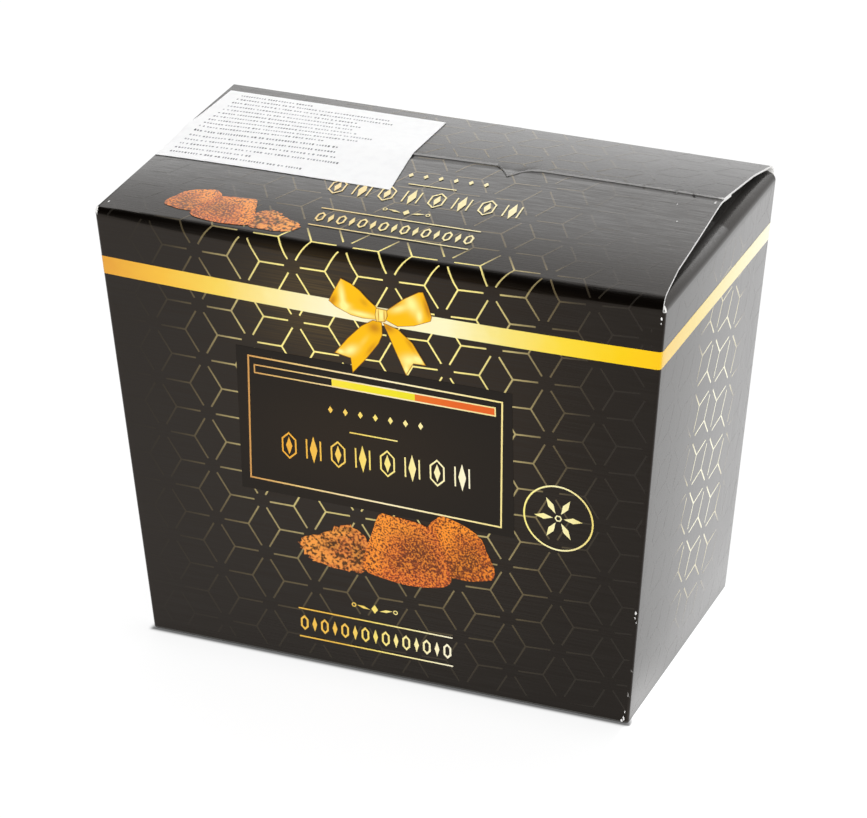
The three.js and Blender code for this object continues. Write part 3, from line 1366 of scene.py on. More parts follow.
class Print:
    """Flat print on one face of the carton, drawn in millimetres and then laid on the card."""

    def __init__(self, name: str, face: Surface, lift: float, thickness: float = 0.02) -> None:
        """Starts a print.

        Args:
            name: The finished piece's name.
            face: The surface that it is laid on.
            lift: How far its underside stands off the card, in millimetres.
            thickness: The print's own thickness, in millimetres.
        """
        self.name = name
        self.face = face
        self.lift = lift
        self.thickness = thickness
        self.bm = bmesh.new()
        self.slot = 0

    def bar(self, start: Place, end: Place, width: float) -> None:
        """Draws a straight line of a width between two places.

        Args:
            start: Its one end.
            end: Its other end.
            width: The line's width.
        """
        run = Vector(end) - Vector(start)
        middle = (Vector(start) + Vector(end)) / 2
        turn = Matrix.Rotation(math.atan2(run.y, run.x), 4, "Z")
        size = Matrix.Diagonal((run.length, width, 1, 1))
        where = Matrix.Translation((middle.x, middle.y, 0)) @ turn @ size
        made = bmesh.ops.create_grid(self.bm, x_segments=1, y_segments=1, size=0.5, matrix=where)
        made["verts"][0].link_faces[0].material_index = self.slot

    def frame(self, corners: Sequence[Place], width: float) -> None:
        """Draws the outline of a polygon, as a line inside its corners.

        Args:
            corners: The corners.
            width: The line's width.
        """
        self._open(self.shape(corners), width)

    def _open(self, face: bmesh.types.BMFace, width: float) -> None:
        """Opens a filled shape, so that only a line inside its edge is left.

        Args:
            face: The shape.
            width: The line's width.
        """
        inner = bmesh.ops.inset_region(
            self.bm, faces=[face], thickness=width, use_boundary=True, use_even_offset=True
        )
        bmesh.ops.delete(self.bm, geom=[face], context="FACES_ONLY")
        for made in inner["faces"]:
            made.material_index = self.slot

    def shape(self, corners: Sequence[Place]) -> bmesh.types.BMFace:
        """Draws a filled shape, whose corners go round anticlockwise.

        Args:
            corners: The corners.

        Returns:
            The new face.
        """
        verts = [self.bm.verts.new((x, y, 0)) for x, y in corners]
        face = self.bm.faces.new(verts)
        face.normal_update()
        face.material_index = self.slot
        return face

    def ring(self, middle: Place, reach: Place, width: float, segments: int = 64, turn: float = 0.0) -> None:
        """Draws the line of a circle, an oval or a regular polygon."""
        self._open(self.disc(middle, reach, segments, first=turn)[0].link_faces[0], width)

    def lozenge(self, middle: Place, reach: Place, turn: float = 0.0) -> None:
        """Draws a filled lozenge."""
        self.disc(middle, reach, 4, turn)

    def disc(
        self, middle: Place, reach: Place, segments: int, turn: float = 0.0, first: float = 0.0
    ) -> list[bmesh.types.BMVert]:
        """Draws a filled oval or a regular polygon, stretched to its reach.

        Args:
            middle: Its middle, in millimetres.
            reach: Half its width and half its height.
            segments: The number of its corners.
            turn: How far the stretched shape is turned.
            first: The angle of its first corner, before it is stretched.

        Returns:
            Its corners, anticlockwise from the first.
        """
        stretch = Matrix.Diagonal((*reach, 1, 1)) @ Matrix.Rotation(first - math.pi / 2, 4, "Z")
        where = Matrix.Translation((*middle, 0)) @ Matrix.Rotation(turn, 4, "Z") @ stretch
        made = bmesh.ops.create_circle(self.bm, cap_ends=True, segments=segments, radius=1, matrix=where)
        face = made["verts"][0].link_faces[0]
        face.normal_update()
        face.material_index = self.slot
        return made["verts"]

    def box(self, low: Place, high: Place) -> None:
        """Draws a filled upright rectangle."""
        height = high[1] - low[1]
        self.bar((low[0], low[1] + height / 2), (high[0], low[1] + height / 2), height)

    def tripod(self, middle: Place, first: float, reach: float, width: float) -> None:
        """Draws three lines that meet at a point, a third of a turn apart.

        Args:
            middle: Where they meet.
            first: The first line's angle.
            reach: Their length.
            width: The line's width.
        """
        size = width / math.sqrt(3)
        where = Matrix.Translation((*middle, 0)) @ Matrix.Rotation(first - math.pi / 6, 4, "Z")
        made = bmesh.ops.create_circle(self.bm, cap_ends=True, segments=3, radius=size, matrix=where)
        core = made["verts"][0].link_faces[0]
        for edge in list(core.edges):
            out = (edge.verts[0].co + edge.verts[1].co) / 2 - Vector((*middle, 0))
            grown = bmesh.ops.extrude_edge_only(self.bm, edges=[edge])["geom"]
            verts = [g for g in grown if isinstance(g, bmesh.types.BMVert)]
            bmesh.ops.translate(self.bm, verts=verts, vec=out.normalized() * reach)

    def trim(self, point: Place, outwards: Place) -> None:
        """Cuts off all that lies outwards of a line.

        Args:
            point: A point of the line.
            outwards: The way off the print.
        """
        geom = [*self.bm.verts, *self.bm.edges, *self.bm.faces]
        bmesh.ops.bisect_plane(
            self.bm, geom=geom, plane_co=(*point, 0), plane_no=(*outwards, 0), clear_outer=True
        )

    def cut(self, axis: int, places: Iterable[float]) -> None:
        """Divides the print across an axis, so that it can bend there.

        Args:
            axis: 0 for across, 1 for up.
            places: Where to cut.
        """
        normal = (1, 0, 0) if axis == 0 else (0, 1, 0)
        for place in places:
            geom = [*self.bm.verts, *self.bm.edges, *self.bm.faces]
            where = (place, 0, 0) if axis == 0 else (0, place, 0)
            bmesh.ops.bisect_plane(self.bm, geom=geom, plane_co=where, plane_no=normal)

    def lay(
        self, materials: Sequence[bpy.types.Material], slot: str = CARD_SLOT,
        place: Callable[[float, float, float], Vector] | None = None,
    ) -> bpy.types.Object:
        """Thickens the print, lays it on the card and finishes the piece.

        Args:
            materials: The inks, in the order of the slots that were drawn with.
            slot: The record's slot, which is handed on to register.
            place: A function of its own for where a point goes, if the face's isn't used.

        Returns:
            The finished piece.
        """
        grown = bmesh.ops.extrude_face_region(self.bm, geom=list(self.bm.faces))["geom"]
        verts = [g for g in grown if isinstance(g, bmesh.types.BMVert)]
        bmesh.ops.translate(self.bm, verts=verts, vec=(0, 0, self.thickness))
        bmesh.ops.recalc_face_normals(self.bm, faces=self.bm.faces)
        put = place or self.face.lifted
        for vert in self.bm.verts:
            vert.co = put(vert.co.x * MM, vert.co.y * MM, (self.lift + vert.co.z) * MM)
        return register(settle(self.name, self.bm, materials), slot)


def curve(points: Sequence[Place], steps: int = 6, closed: bool = True) -> list[Place]:
    """A smooth line through a few points.

    Args:
        points: The points, in order.
        steps: How many pieces each stretch is divided into.
        closed: Whether the line comes back to its first point.

    Returns:
        The points of the line.
    """
    count = len(points)
    knots = [Vector((*p, 0.0)) for p in points]
    last = count if closed else count - 1
    line: list[Place] = []
    for i in range(last):
        before = knots[i - 1] if closed or i else knots[i]
        here, there = knots[i], knots[(i + 1) % count]
        after = knots[(i + 2) % count] if closed or i + 2 < count else there
        handles = here + (there - before) / 6, there - (after - here) / 6
        line += [(p.x, p.y) for p in interpolate_bezier(here, *handles, there, steps + 1)[:-1]]
    return line if closed else [*line, points[-1]]


@dataclass
class LineLattice:
    """The lattice of fine lines: hexagons of three-armed joints, open at their middles."""

    faces: dict[Side, Face]
    pitch: Place = (12.23, 14.117)
    width: float = 0.42
    side_width: float = 0.46
    gap: float = 2.1
    origin: Place = (4.35, 106.1)
    side_origin: Place = (5.2, 84.5)
    tilt: float = 0.032
    side_tilt: float = 0.134
    side_spread: float = 1.04
    side_about: Place = (-2.7, 56.6)
    sag: float = 1.5
    sag_reach: float = 60.0
    margin: float = 0.9
    seam_margin: float = 0.4
    columns: range = range(-7, 7)
    rows: range = range(-4, 9)
    side_columns: range = range(-5, 5)
    side_rows: range = range(-3, 8)
    lift: float = 0.008
    thickness: float = 0.008
    side_lift: float = 0.003
    side_thickness: float = 0.005
    side_top: float = 108.5

    SIDE_STOPS = (
        (0.0, (0.014, 0.012, 0.010)), (0.1, (0.05, 0.042, 0.03)), (0.3, (0.25, 0.21, 0.12)),
        (0.6, (0.7, 0.62, 0.36)), (0.95, (1.0, 0.95, 0.66)),
    )

    def build(self) -> None:
        """Lays the lattice on all four panels and on the lid."""
        self._wide_panel(Side.FRONT, PrintedLines("front gold lines", (-1, 95), (41, 69)))
        self._wide_panel(Side.BACK, PrintedLines("back gold lines", (1, 95), (41, 69)))
        for side in (Side.RIGHT, Side.LEFT):
            name = f"{side.value} gold lines"
            ink = PrintedLines(name, (6, 57), (14.5, 40), across=1, strength=1.1, stops=self.SIDE_STOPS)
            self._end_panel(side, ink)

    def _joints(self, print_: Print, origin: Place, columns: range, rows: range, width: float) -> None:
        """Draws two three-armed joints beside every middle of the lattice.

        Args:
            print_: The print that is being drawn.
            origin: The first middle.
            columns: The columns.
            rows: The rows.
            width: The line's width.
        """
        joint = self.pitch[1] / math.sqrt(3)
        for m in columns:
            for n in rows:
                x = origin[0] + self.pitch[0] * m
                y = origin[1] - self.pitch[1] * (n + (m % 2) / 2)
                print_.tripod((x - joint, y), 0.0, joint - self.gap, width)
                print_.tripod((x + joint, y), math.pi, joint - self.gap, width)

    def _wide_panel(self, side: Side, ink: PrintedLines) -> None:
        """Lays the lattice on the front or back panel and the lid flap above it.

        Args:
            side: The panel.
            ink: Its ink.
        """
        face = self.faces[side]
        form = face.form
        print_ = Print(f"gold_lines_{side.value}", face, self.lift, self.thickness)
        self._joints(print_, self.origin, self.columns, self.rows, self.width)
        turned = Matrix.Rotation(self.tilt, 4, "Z")
        about = Matrix.Translation((0, -100, 0))
        bmesh.ops.transform(print_.bm, matrix=turned, verts=print_.bm.verts, space=about)
        lean = (form.top_width - form.base_width) / 2 / form.height
        for sign in (-1, 1):
            print_.trim((sign * (form.base_width / 2 / MM - self.margin), 0), (sign, -lean))
            print_.trim((sign * ((form.top_width / 2 - form.inset_right) / MM - self.margin), 0), (sign, 0))
        print_.trim((0, self.margin * 2), (0, -1))
        self._trim_at_seam(print_, side)
        # The print is cut finely where it bends: each range is a start, an end and a step.
        fold = (107, 118, 0.35) if side is Side.FRONT else (110.2, 114, 0.25)
        ridge = (150.5, 158.5, 0.5) if side is Side.FRONT else (138, 150, 1.0)
        for low, high, step in (fold, (118, 150, 4), ridge):
            print_.cut(1, [low + step * i for i in range(round((high - low) / step))])
        print_.cut(0, [-64 + 8 * i for i in range(17)])
        print_.lay([ink.material()], place=self._sagging(face))

    def _trim_at_seam(self, print_: Print, side: Side) -> None:
        """Ends the print just before the seam between the two lid flaps.

        Args:
            print_: The print that is being drawn.
            side: The panel.
        """
        face = self.faces[side]
        ends = []
        for across in (-30 * MM, 60 * MM):
            x = across if side is Side.FRONT else -across
            seam = face.form.seam_y - face.form.seam_skew * x
            distance = seam if side is Side.FRONT else -seam
            sag = self.sag * (across / MM / self.sag_reach) ** 2
            ends.append(Vector((across / MM, face.up_of(across, distance) / MM - sag - self.seam_margin)))
        run = ends[1] - ends[0]
        print_.trim(tuple(ends[0]), (-run.y, run.x))

    def _sagging(self, face: Face) -> Callable[[float, float, float], Vector]:
        """The face's own places, with the print a little lower in the middle of the panel.

        Args:
            face: The face that it is laid on.

        Returns:
            The function that places a point.
        """
        def place(across: float, up: float, lift: float) -> Vector:
            """The point for a place of the straight print."""
            share = across / MM / self.sag_reach
            return face.lifted(across, up + self.sag * MM * share ** 2, lift)
        return place

    def _end_panel(self, side: Side, ink: PrintedLines) -> None:
        """Lays the lattice on a side panel.

        Args:
            side: The panel.
            ink: Its ink.
        """
        face = self.faces[side]
        form = face.form
        print_ = Print(f"gold_lines_{side.value}", face, self.side_lift, self.side_thickness)
        self._joints(print_, self.side_origin, self.side_columns, self.side_rows, self.side_width)
        turned = Matrix.Rotation(self.side_tilt, 4, "Z") @ Matrix.Diagonal((self.side_spread, 1, 1, 1))
        about = Matrix.Translation((-self.side_about[0], -self.side_about[1], 0))
        bmesh.ops.transform(print_.bm, matrix=turned, verts=print_.bm.verts, space=about)
        lean = (form.top_depth - form.base_depth) / 2 / form.height
        for sign in (-1, 1):
            print_.trim((sign * (form.base_depth / 2 / MM - self.margin), 0), (sign, -lean))
        print_.trim((0, self.margin * 2), (0, -1))
        print_.trim((0, self.side_top), (0, 1))
        print_.lay([ink.material()])


@dataclass
class Ribbon:
    """The printed ribbon that runs round all four panels."""

    form: FoldedForm
    height: float = 4.5
    low: float = 94.5
    sag: float = 1.0
    back_rise: float = -1.0
    lift: float = 0.02
    thickness: float = 0.01
    columns: int = 24

    FRONT_STOPS = (
        (0.0, rgb(229, 158, 58)), (0.12, rgb(246, 190, 66)), (0.22, rgb(248, 212, 92)),
        (0.32, rgb(252, 234, 160)), (0.42, rgb(253, 245, 206)), (0.62, rgb(252, 245, 198)),
        (0.72, rgb(246, 226, 128)), (0.82, rgb(249, 216, 60)), (0.92, rgb(248, 205, 12)),
        (1.0, rgb(255, 196, 14)),
    )
    SIDE_STOPS = (
        (0.0, rgb(250, 200, 40)), (0.3, rgb(244, 214, 96)), (0.7, rgb(246, 232, 160)),
        (1.0, rgb(250, 244, 205)),
    )

    def build(self) -> None:
        """Lays the four stretches of the ribbon."""
        for side in Side:
            wide = side in (Side.FRONT, Side.BACK)
            reach = (self.form.top_width if wide else self.form.top_depth) / 2 / MM
            start = -reach if side in (Side.FRONT, Side.RIGHT) else reach
            stops = self.FRONT_STOPS if wide else self.SIDE_STOPS
            ink = RampInk(f"ribbon gold {side.value}", start, -start, stops, axis=0 if wide else 1)
            self._stretch(side, ink.material())

    def _stretch(self, side: Side, ink: bpy.types.Material) -> None:
        """Lays the ribbon on one panel and half-way round the folds at its ends.

        Args:
            side: The panel.
            ink: Its ink.
        """
        print_ = Print(f"ribbon_{side.value}", faces_of(self.form)[side], self.lift, self.thickness)
        half = self._half(side, (self.low + self.height / 2) * MM) - self.form.corner_round / MM
        quarter = self.form.corner_round / MM * math.pi / 4
        print_.bar((-half - quarter, self.height / 2), (half + quarter, self.height / 2), self.height)
        print_.cut(0, [lerp(-half, half, i / self.columns) for i in range(self.columns + 1)])
        print_.cut(0, [s * (half + quarter * i / 3) for s in (-1, 1) for i in (1, 2)])
        print_.lay([ink], place=self._round_corners(side, half))

    def _half(self, side: Side, z: float) -> float:
        """Half the panel's width at a height, in millimetres."""
        wide = side in (Side.FRONT, Side.BACK)
        return (self.form.half_width(z) if wide else self.form.half_depth(z)) / MM

    def _base_line(self, x: float, y: float) -> float:
        """The height of the ribbon's lower edge at a place on the girth, in metres.

        Args:
            x: The place along the width.
            y: The place along the depth.

        Returns:
            The height.
        """
        bow = self.sag * (x / (self.form.top_width / 2)) ** 2
        back = self.back_rise * (0.5 + y / self.form.top_depth)
        return (self.low + bow + back) * MM

    def _round_corners(self, side: Side, half: float) -> Callable[[float, float, float], Vector]:
        """Where a point of the ribbon goes on a panel or round the folds at its ends.

        Args:
            side: The panel.
            half: Half the ribbon's flat length.

        Returns:
            The function that places a point.
        """
        face = faces_of(self.form)[side]
        corner = self.form.corner_round

        def place(across: float, up: float, lift: float) -> Vector:
            """The point for a place of the straight ribbon.

            Args:
                across: The place along the ribbon, in metres.
                up: The height above its lower edge.
                lift: The distance off the card.

            Returns:
                The point on the panel, or round the fold past its end.
            """
            here = face.on_panel(across, self.low * MM)
            z = self._base_line(here.x, here.y) + up
            end = math.copysign(self._half(side, z) * MM - corner, across)
            flat = across / half / MM * abs(end) if abs(across) <= half * MM else end
            spread = face.lifted(flat, z, lift)
            turn = (abs(across) - half * MM) / corner
            if turn <= 0:
                return spread
            facing = (face.lifted(0, z, MM) - face.on_panel(0, z)).normalized()
            outwards = (face.on_panel(end, z) - face.on_panel(0, z)).normalized()
            round_it = facing * (math.cos(turn) - 1) + outwards * math.sin(turn)
            return spread + round_it * (corner + lift)
        return place


@dataclass(frozen=True)
class Figure:
    """One printed figure: its outline and its ink."""

    outline: tuple[Place, ...]
    ink: SpottedInk
    lift: float
    rounding: int = 3
    rough: float = 0.0

    def points(self, scale: Place = (1.0, 1.0), shift: Place = (0.0, 0.0)) -> list[Place]:
        """The outline, smoothed or roughened, scaled and shifted.

        Args:
            scale: The scale each way.
            shift: The shift each way.

        Returns:
            The points.
        """
        draw = random.Random(11)
        line = curve(self.outline, self.rounding) if self.rounding > 1 else list(self.outline)
        places = []
        for point in line:
            worn = [value + draw.gauss(0, self.rough) for value in point]
            places.append((worn[0] * scale[0] + shift[0], worn[1] * scale[1] + shift[1]))
        return places[::-1] if scale[0] < 0 else places


GOLD = rgb(255, 190, 0)
DEEP_GOLD = rgb(204, 132, 8)
CREAM = rgb(255, 244, 150)


@dataclass
class Bow:
    """The printed bow: two loops, two forked tails and a knot, on the front panel."""

    face: Face
    edge: Colour = rgb(168, 106, 20)
    edge_width: float = 0.28

    FIGURES = (
        Figure(
            ((-0.6, 95.5), (1.7, 95.3), (1.7, 92.0), (0.7, 89.6), (-2.5, 85.1), (-6.0, 80.8), (-6.4, 84.6),
             (-10.4, 85.3), (-6.9, 89.8), (-3.5, 93.5)),
            SpottedInk(
                "bow left tail", GOLD, CREAM, DEEP_GOLD,
                (Spot((-6.4, 86.6), (2.0, 1.1), 35), Spot((-8.9, 85.9), (0.8, 0.6)),
                 Spot((-3.0, 89.6), (0.6, 1.8), -35, 0.2)),
                (Spot((-0.2, 93.6), (1.6, 1.4)), Spot((-1.2, 88.0), (0.6, 2.4), -35, 0.7)),
            ), 0.13, 1,
        ),
        Figure(
            ((5.5, 94.3), (1.9, 95.3), (4.4, 89.4), (7.3, 82.6), (9.2, 86.0), (12.3, 86.1), (9.1, 91.3)),
            SpottedInk(
                "bow right tail", GOLD, CREAM, DEEP_GOLD,
                (Spot((8.2, 86.6), (2.2, 1.5), 15), Spot((7.4, 84.0), (0.7, 1.2)),
                 Spot((10.6, 87.2), (1.2, 0.8), -40)),
                (Spot((3.2, 94.2), (1.6, 1.2)), Spot((8.4, 91.0), (0.6, 2.2), 35, 0.6)),
            ), 0.13, 1,
        ),
        Figure(
            ((-8.2, 104.9), (-9.9, 101.7), (-11.4, 98.6), (-9.7, 97.3), (-5.9, 95.8), (-3.0, 95.5),
             (0.4, 95.8), (0.5, 98.9), (-1.9, 100.9), (-3.6, 102.6), (-5.8, 104.0)),
            SpottedInk(
                "bow left loop", GOLD, CREAM, DEEP_GOLD,
                (Spot((-8.0, 100.2), (0.75, 3.2), 6), Spot((-3.6, 96.5), (3.8, 0.7), -3),
                 Spot((-7.4, 97.9), (1.4, 0.9))),
                (Spot((-10.4, 98.8), (0.8, 1.6), -25), Spot((-2.6, 99.6), (1.2, 0.8), -35, 0.5)),
            ), 0.15, 1,
        ),
        Figure(
            ((3.0, 98.7), (2.5, 96.1), (5.5, 94.9), (9.6, 95.8), (13.7, 97.7), (14.0, 98.8), (13.2, 101.6),
             (12.0, 104.9), (10.9, 104.7), (7.0, 102.2)),
            SpottedInk(
                "bow right loop", GOLD, CREAM, DEEP_GOLD,
                (Spot((9.2, 101.4), (1.5, 2.6), 25), Spot((6.0, 99.6), (2.2, 0.9), 25, 0.8),
                 Spot((11.0, 98.4), (0.7, 1.4))),
                (Spot((12.9, 100.8), (0.7, 3.0), 15), Spot((5.0, 100.3), (1.5, 0.5), 35, 0.6)),
            ), 0.15, 1,
        ),
        Figure(
            ((0.3, 98.8), (0.0, 97.0), (0.3, 95.2), (2.5, 95.6), (3.2, 97.2), (3.0, 98.7)),
            SpottedInk(
                "bow knot", GOLD, CREAM, DEEP_GOLD, (Spot((1.5, 97.2), (1.6, 2.2)),),
                (Spot((2.3, 96.9), (0.16, 1.8)), Spot((0.9, 97.0), (0.14, 1.8)),
                 Spot((3.1, 96.6), (0.3, 1.6))),
            ), 0.17, 1,
        ),
    )

    def build(self) -> None:
        """Lays the bow's figures, the knot last, each with its thin dark edge."""
        edge = RampInk("bow edge", -20, 20, ((0.0, self.edge), (1.0, self.edge))).material()
        for figure in self.FIGURES:
            name = figure.ink.name.replace(" ", "_")
            print_ = Print(name, self.face, figure.lift)
            print_.shape(figure.points())
            print_.lay([figure.ink.material()])
            line = Print(f"{name}_edge", self.face, figure.lift + 0.005)
            line.frame(figure.points(), self.edge_width / 2)
            line.lay([edge])


@dataclass
class TrufflePicture:
    """The printed picture of two cocoa-dusted truffles and a crumbled one."""

    front: Face
    lid: LidPlan
    lid_scale: Place = (-0.7, 0.7)
    lid_shift: Place = (-36.3, -53.4)

    FIGURES = (
        Figure(
            ((13.7, 45.9), (11.7, 43.3), (13.0, 38.0), (17.6, 30.8), (26.1, 31.8), (27.9, 33.0),
             (28.1, 35.7), (26.2, 39.8), (25.2, 42.6), (22.1, 45.0), (17.6, 46.6), (15.2, 47.0)),
            SpottedInk(
                "truffle behind", rgb(196, 84, 40), rgb(252, 146, 44), rgb(96, 34, 26),
                (Spot((16.2, 42.0), (2.6, 5.0), 8), Spot((20.6, 44.6), (4.2, 1.7), -18),
                 Spot((27.2, 35.5), (0.9, 3.4), -10, 0.4)),
                (Spot((22.4, 36.6), (3.6, 4.8), 14, 0.95), Spot((18.6, 32.6), (2.4, 3.4), 0, 0.8)),
                grain=1.7, grain_scale=2100.0,
            ), 0.07, 2,
        ),
        Figure(
            ((-21.2, 32.4), (-19.8, 29.8), (-18.5, 28.6), (-15.6, 27.7), (-12.0, 27.2), (-8.1, 27.3),
             (-5.1, 28.2), (-3.6, 35.7), (-5.9, 38.5), (-8.0, 39.6), (-11.3, 38.7), (-13.8, 36.8),
             (-18.9, 34.6)),
            SpottedInk(
                "crumbled truffle", rgb(200, 98, 54), rgb(248, 158, 70), rgb(58, 24, 22),
                (Spot((-17.5, 33.0), (4.0, 2.6), 20), Spot((-10.6, 37.4), (4.0, 1.3), 20),
                 Spot((-13.0, 29.4), (6.0, 1.6), -6, 0.7)),
                (Spot((-12.8, 33.6), (2.8, 1.5), 8, 0.95), Spot((-6.4, 32.6), (1.9, 3.6), 0, 0.95),
                 Spot((-9.6, 38.2), (2.4, 0.6), 10, 0.8)),
                grain=1.6, grain_scale=1300.0,
            ), 0.07, 4, 0.3,
        ),
        Figure(
            ((-4.7, 32.2), (-4.9, 29.5), (-3.7, 27.8), (1.2, 26.9), (6.6, 26.4), (13.7, 27.3),
             (16.5, 28.7), (17.3, 30.7), (15.6, 35.7), (13.6, 42.1), (11.7, 43.2), (9.0, 44.0),
             (1.7, 44.6), (-0.6, 44.3), (-2.3, 39.6)),
            SpottedInk(
                "cut truffle", rgb(206, 86, 46), rgb(252, 148, 50), rgb(100, 36, 28),
                (Spot((-0.8, 38.0), (3.2, 7.6), -16), Spot((4.6, 42.0), (6.2, 2.6), -8),
                 Spot((-2.6, 30.4), (2.2, 2.4), 0, 0.6)),
                (Spot((9.2, 36.2), (5.4, 4.8), -20, 0.95), Spot((4.4, 31.6), (3.6, 2.0), -6, 0.6),
                 Spot((13.2, 31.6), (2.6, 3.0), 14, 0.4)),
                grain=1.7, grain_scale=2100.0,
            ), 0.10, 2,
        ),
    )

    def build(self) -> None:
        """Lays the picture on the front, and smaller and the other way round on the lid."""
        lid_change = (self.lid_scale, self.lid_shift)
        for figure in self.FIGURES:
            name = figure.ink.name.replace(" ", "_")
            lid_ink = figure.ink.moved(f"{figure.ink.name} on lid", *lid_change)
            for print_, ink, change in (
                (Print(f"{name}_front", self.front, figure.lift), figure.ink, ()),
                (Print(f"{name}_lid", self.lid, figure.lift), lid_ink, lid_change),
            ):
                print_.shape(figure.points(*change))
                print_.lay([ink.material()])


@dataclass
class Title:
    """Rows of plain ornaments: small lozenges, a rule and tall hexagons and lozenges."""

    face: Surface
    name: str
    ink: RampInk
    middle: Place
    small_up: float = 11.6
    rule_up: float = 6.5
    tall: float = 3.6
    lift: float = 0.13
    small_pitch: float = 3.75
    pitch: float = 6.2
    count: int = 8

    def build(self) -> None:
        """Lays the rows."""
        x, y = self.middle
        print_ = Print(self.name, self.face, self.lift)
        for i in range(-3, 4):
            print_.lozenge((x + 0.4 + self.small_pitch * i, y + self.small_up), (0.62, 0.95))
        print_.bar((x - 6.2, y + self.rule_up), (x + 5.8, y + self.rule_up), 0.34)
        for i in range(self.count):
            at = x + self.pitch * (i - (self.count - 1) / 2)
            if i % 2:
                print_.lozenge((at, y), (0.95, self.tall))
                low, high = y - 0.72 * self.tall, y + 0.72 * self.tall
                for beside in (at - 1.75, at + 1.75):
                    print_.bar((beside, low), (beside, high), 0.38)
            else:
                print_.ring((at, y), (2.15, self.tall), 0.4, 6, math.pi / 2)
                print_.lozenge((at, y), (0.8, self.tall * 0.66))
        print_.lay([self.ink.material()])


@dataclass
class Caption:
    """A flourish above two rules, with a running ornament of small hexagons between them."""

    face: Surface
    name: str
    ink: RampInk
    middle: Place
    half_length: float = 19.7
    half_height: float = 3.9
    flourish_up: float = 7.6
    lift: float = 0.13
    count: int = 15

    def build(self) -> None:
        """Lays the ornament."""
        x, y = self.middle
        print_ = Print(self.name, self.face, self.lift)
        for side in (-1, 1):
            level = y + side * self.half_height
            print_.bar((x - self.half_length, level), (x + self.half_length, level), 0.36)
            print_.lozenge((x + side * 2.9, y + self.flourish_up), (1.7, 0.36), side * 0.2)
            print_.ring((x + side * 5.3, y + self.flourish_up + 0.2), (0.6, 0.6), 0.25, 12)
        print_.lozenge((x, y + self.flourish_up), (0.85, 1.2))
        for i in range(self.count):
            at = x + (self.half_length - 1.4) * (2 * i / (self.count - 1) - 1)
            if i % 2:
                print_.lozenge((at, y), (0.62, 2.0))
            else:
                print_.ring((at, y), (1.15, 2.1), 0.48, 6, math.pi / 2)
        print_.lay([self.ink.material()])


@dataclass
class Plaque:
    """The dark plaque on the front: its ground, its thin frame and its striped bar."""

    face: Face
    corners: tuple[Place, ...] = ((-33.2, 47.8), (30.2, 46.9), (31.0, 80.3), (-32.5, 80.7))
    margin: float = 2.2
    line: float = 0.42
    bar_low: Place = (-31.0, 76.1)
    bar_high: Place = (29.2, 78.5)
    bar_line: float = 0.34
    stripes: tuple[float, float] = (-11.4, 9.3)

    def build(self) -> None:
        """Lays the plaque."""
        ground = Print("plaque_ground", self.face, 0.04)
        low, high = self.corners[0], self.corners[2]
        ground.box(
            (low[0] - self.margin, low[1] - self.margin - 0.8),
            (high[0] + self.margin, high[1] + self.margin + 0.2),
        )
        ground.cut(0, [-24 + 12 * i for i in range(5)])
        dark = SpottedInk(
            "plaque black", (0.0025, 0.0018, 0.0012), (0.012, 0.007, 0.003), (0.001, 0.001, 0.001),
            lights=(Spot((-6, 62), (30, 17)),), tint=Film().tint,
        )
        ground.lay([dark.material()])
        lines = Print("plaque_lines", self.face, 0.13)
        lines.frame(self.corners, self.line)
        x0, y0 = self.bar_low
        x1, y1 = self.bar_high
        lines.frame(((x0, y0), (x1, y0), (x1, y1), (x0, y1)), self.bar_line)
        line_ink = RampInk("frame gold", -33, 31, (
            (0.0, rgb(206, 148, 84)), (0.2, rgb(232, 196, 128)), (0.55, rgb(252, 238, 196)),
            (1.0, rgb(246, 226, 150)),
        ))
        lines.lay([line_ink.material()])
        stripes = Print("plaque_stripes", self.face, 0.115)
        inside = self.bar_line / 2
        stripes.box((self.stripes[0], y0 + inside), (self.stripes[1], y1 - inside))
        stripes.slot = 1
        stripes.box((self.stripes[1], y0 + inside), (x1 - inside, y1 - inside))
        yellow = ((0.0, rgb(250, 226, 70)), (0.4, rgb(244, 228, 40)), (1.0, rgb(236, 222, 40)))
        orange = ((0.0, rgb(234, 112, 40)), (0.5, rgb(228, 92, 34)), (1.0, rgb(228, 92, 34)))
        stripes.lay([
            RampInk("stripe yellow", -12, 10, yellow).material(),
            RampInk("stripe orange", 9, 30, orange).material(),
        ])


@dataclass
class Roundel:
    """The thin ring at the right of the plaque, with a plain rosette in it."""

    face: Face
    middle: Place = (44.1, 52.3)
    radius: float = 8.6
    petals: int = 6
    petal_middle: float = 0.42

    def build(self) -> None:
        """Lays the ring and the rosette."""
        print_ = Print("roundel", self.face, 0.05)
        print_.ring(self.middle, (self.radius, self.radius), 0.42)
        reach = self.radius * self.petal_middle
        for i in range(self.petals):
            turn = 2 * math.pi / self.petals * i
            at = (self.middle[0] + reach * math.cos(turn), self.middle[1] + reach * math.sin(turn))
            print_.lozenge(at, (2.3, 0.75), turn)
        print_.ring(self.middle, (0.9, 0.9), 0.3, 6)
        stops = ((0.0, rgb(252, 236, 130)), (0.5, rgb(250, 242, 190)), (1.0, rgb(240, 218, 120)))
        print_.lay([RampInk("roundel gold", 35, 53, stops).material()])


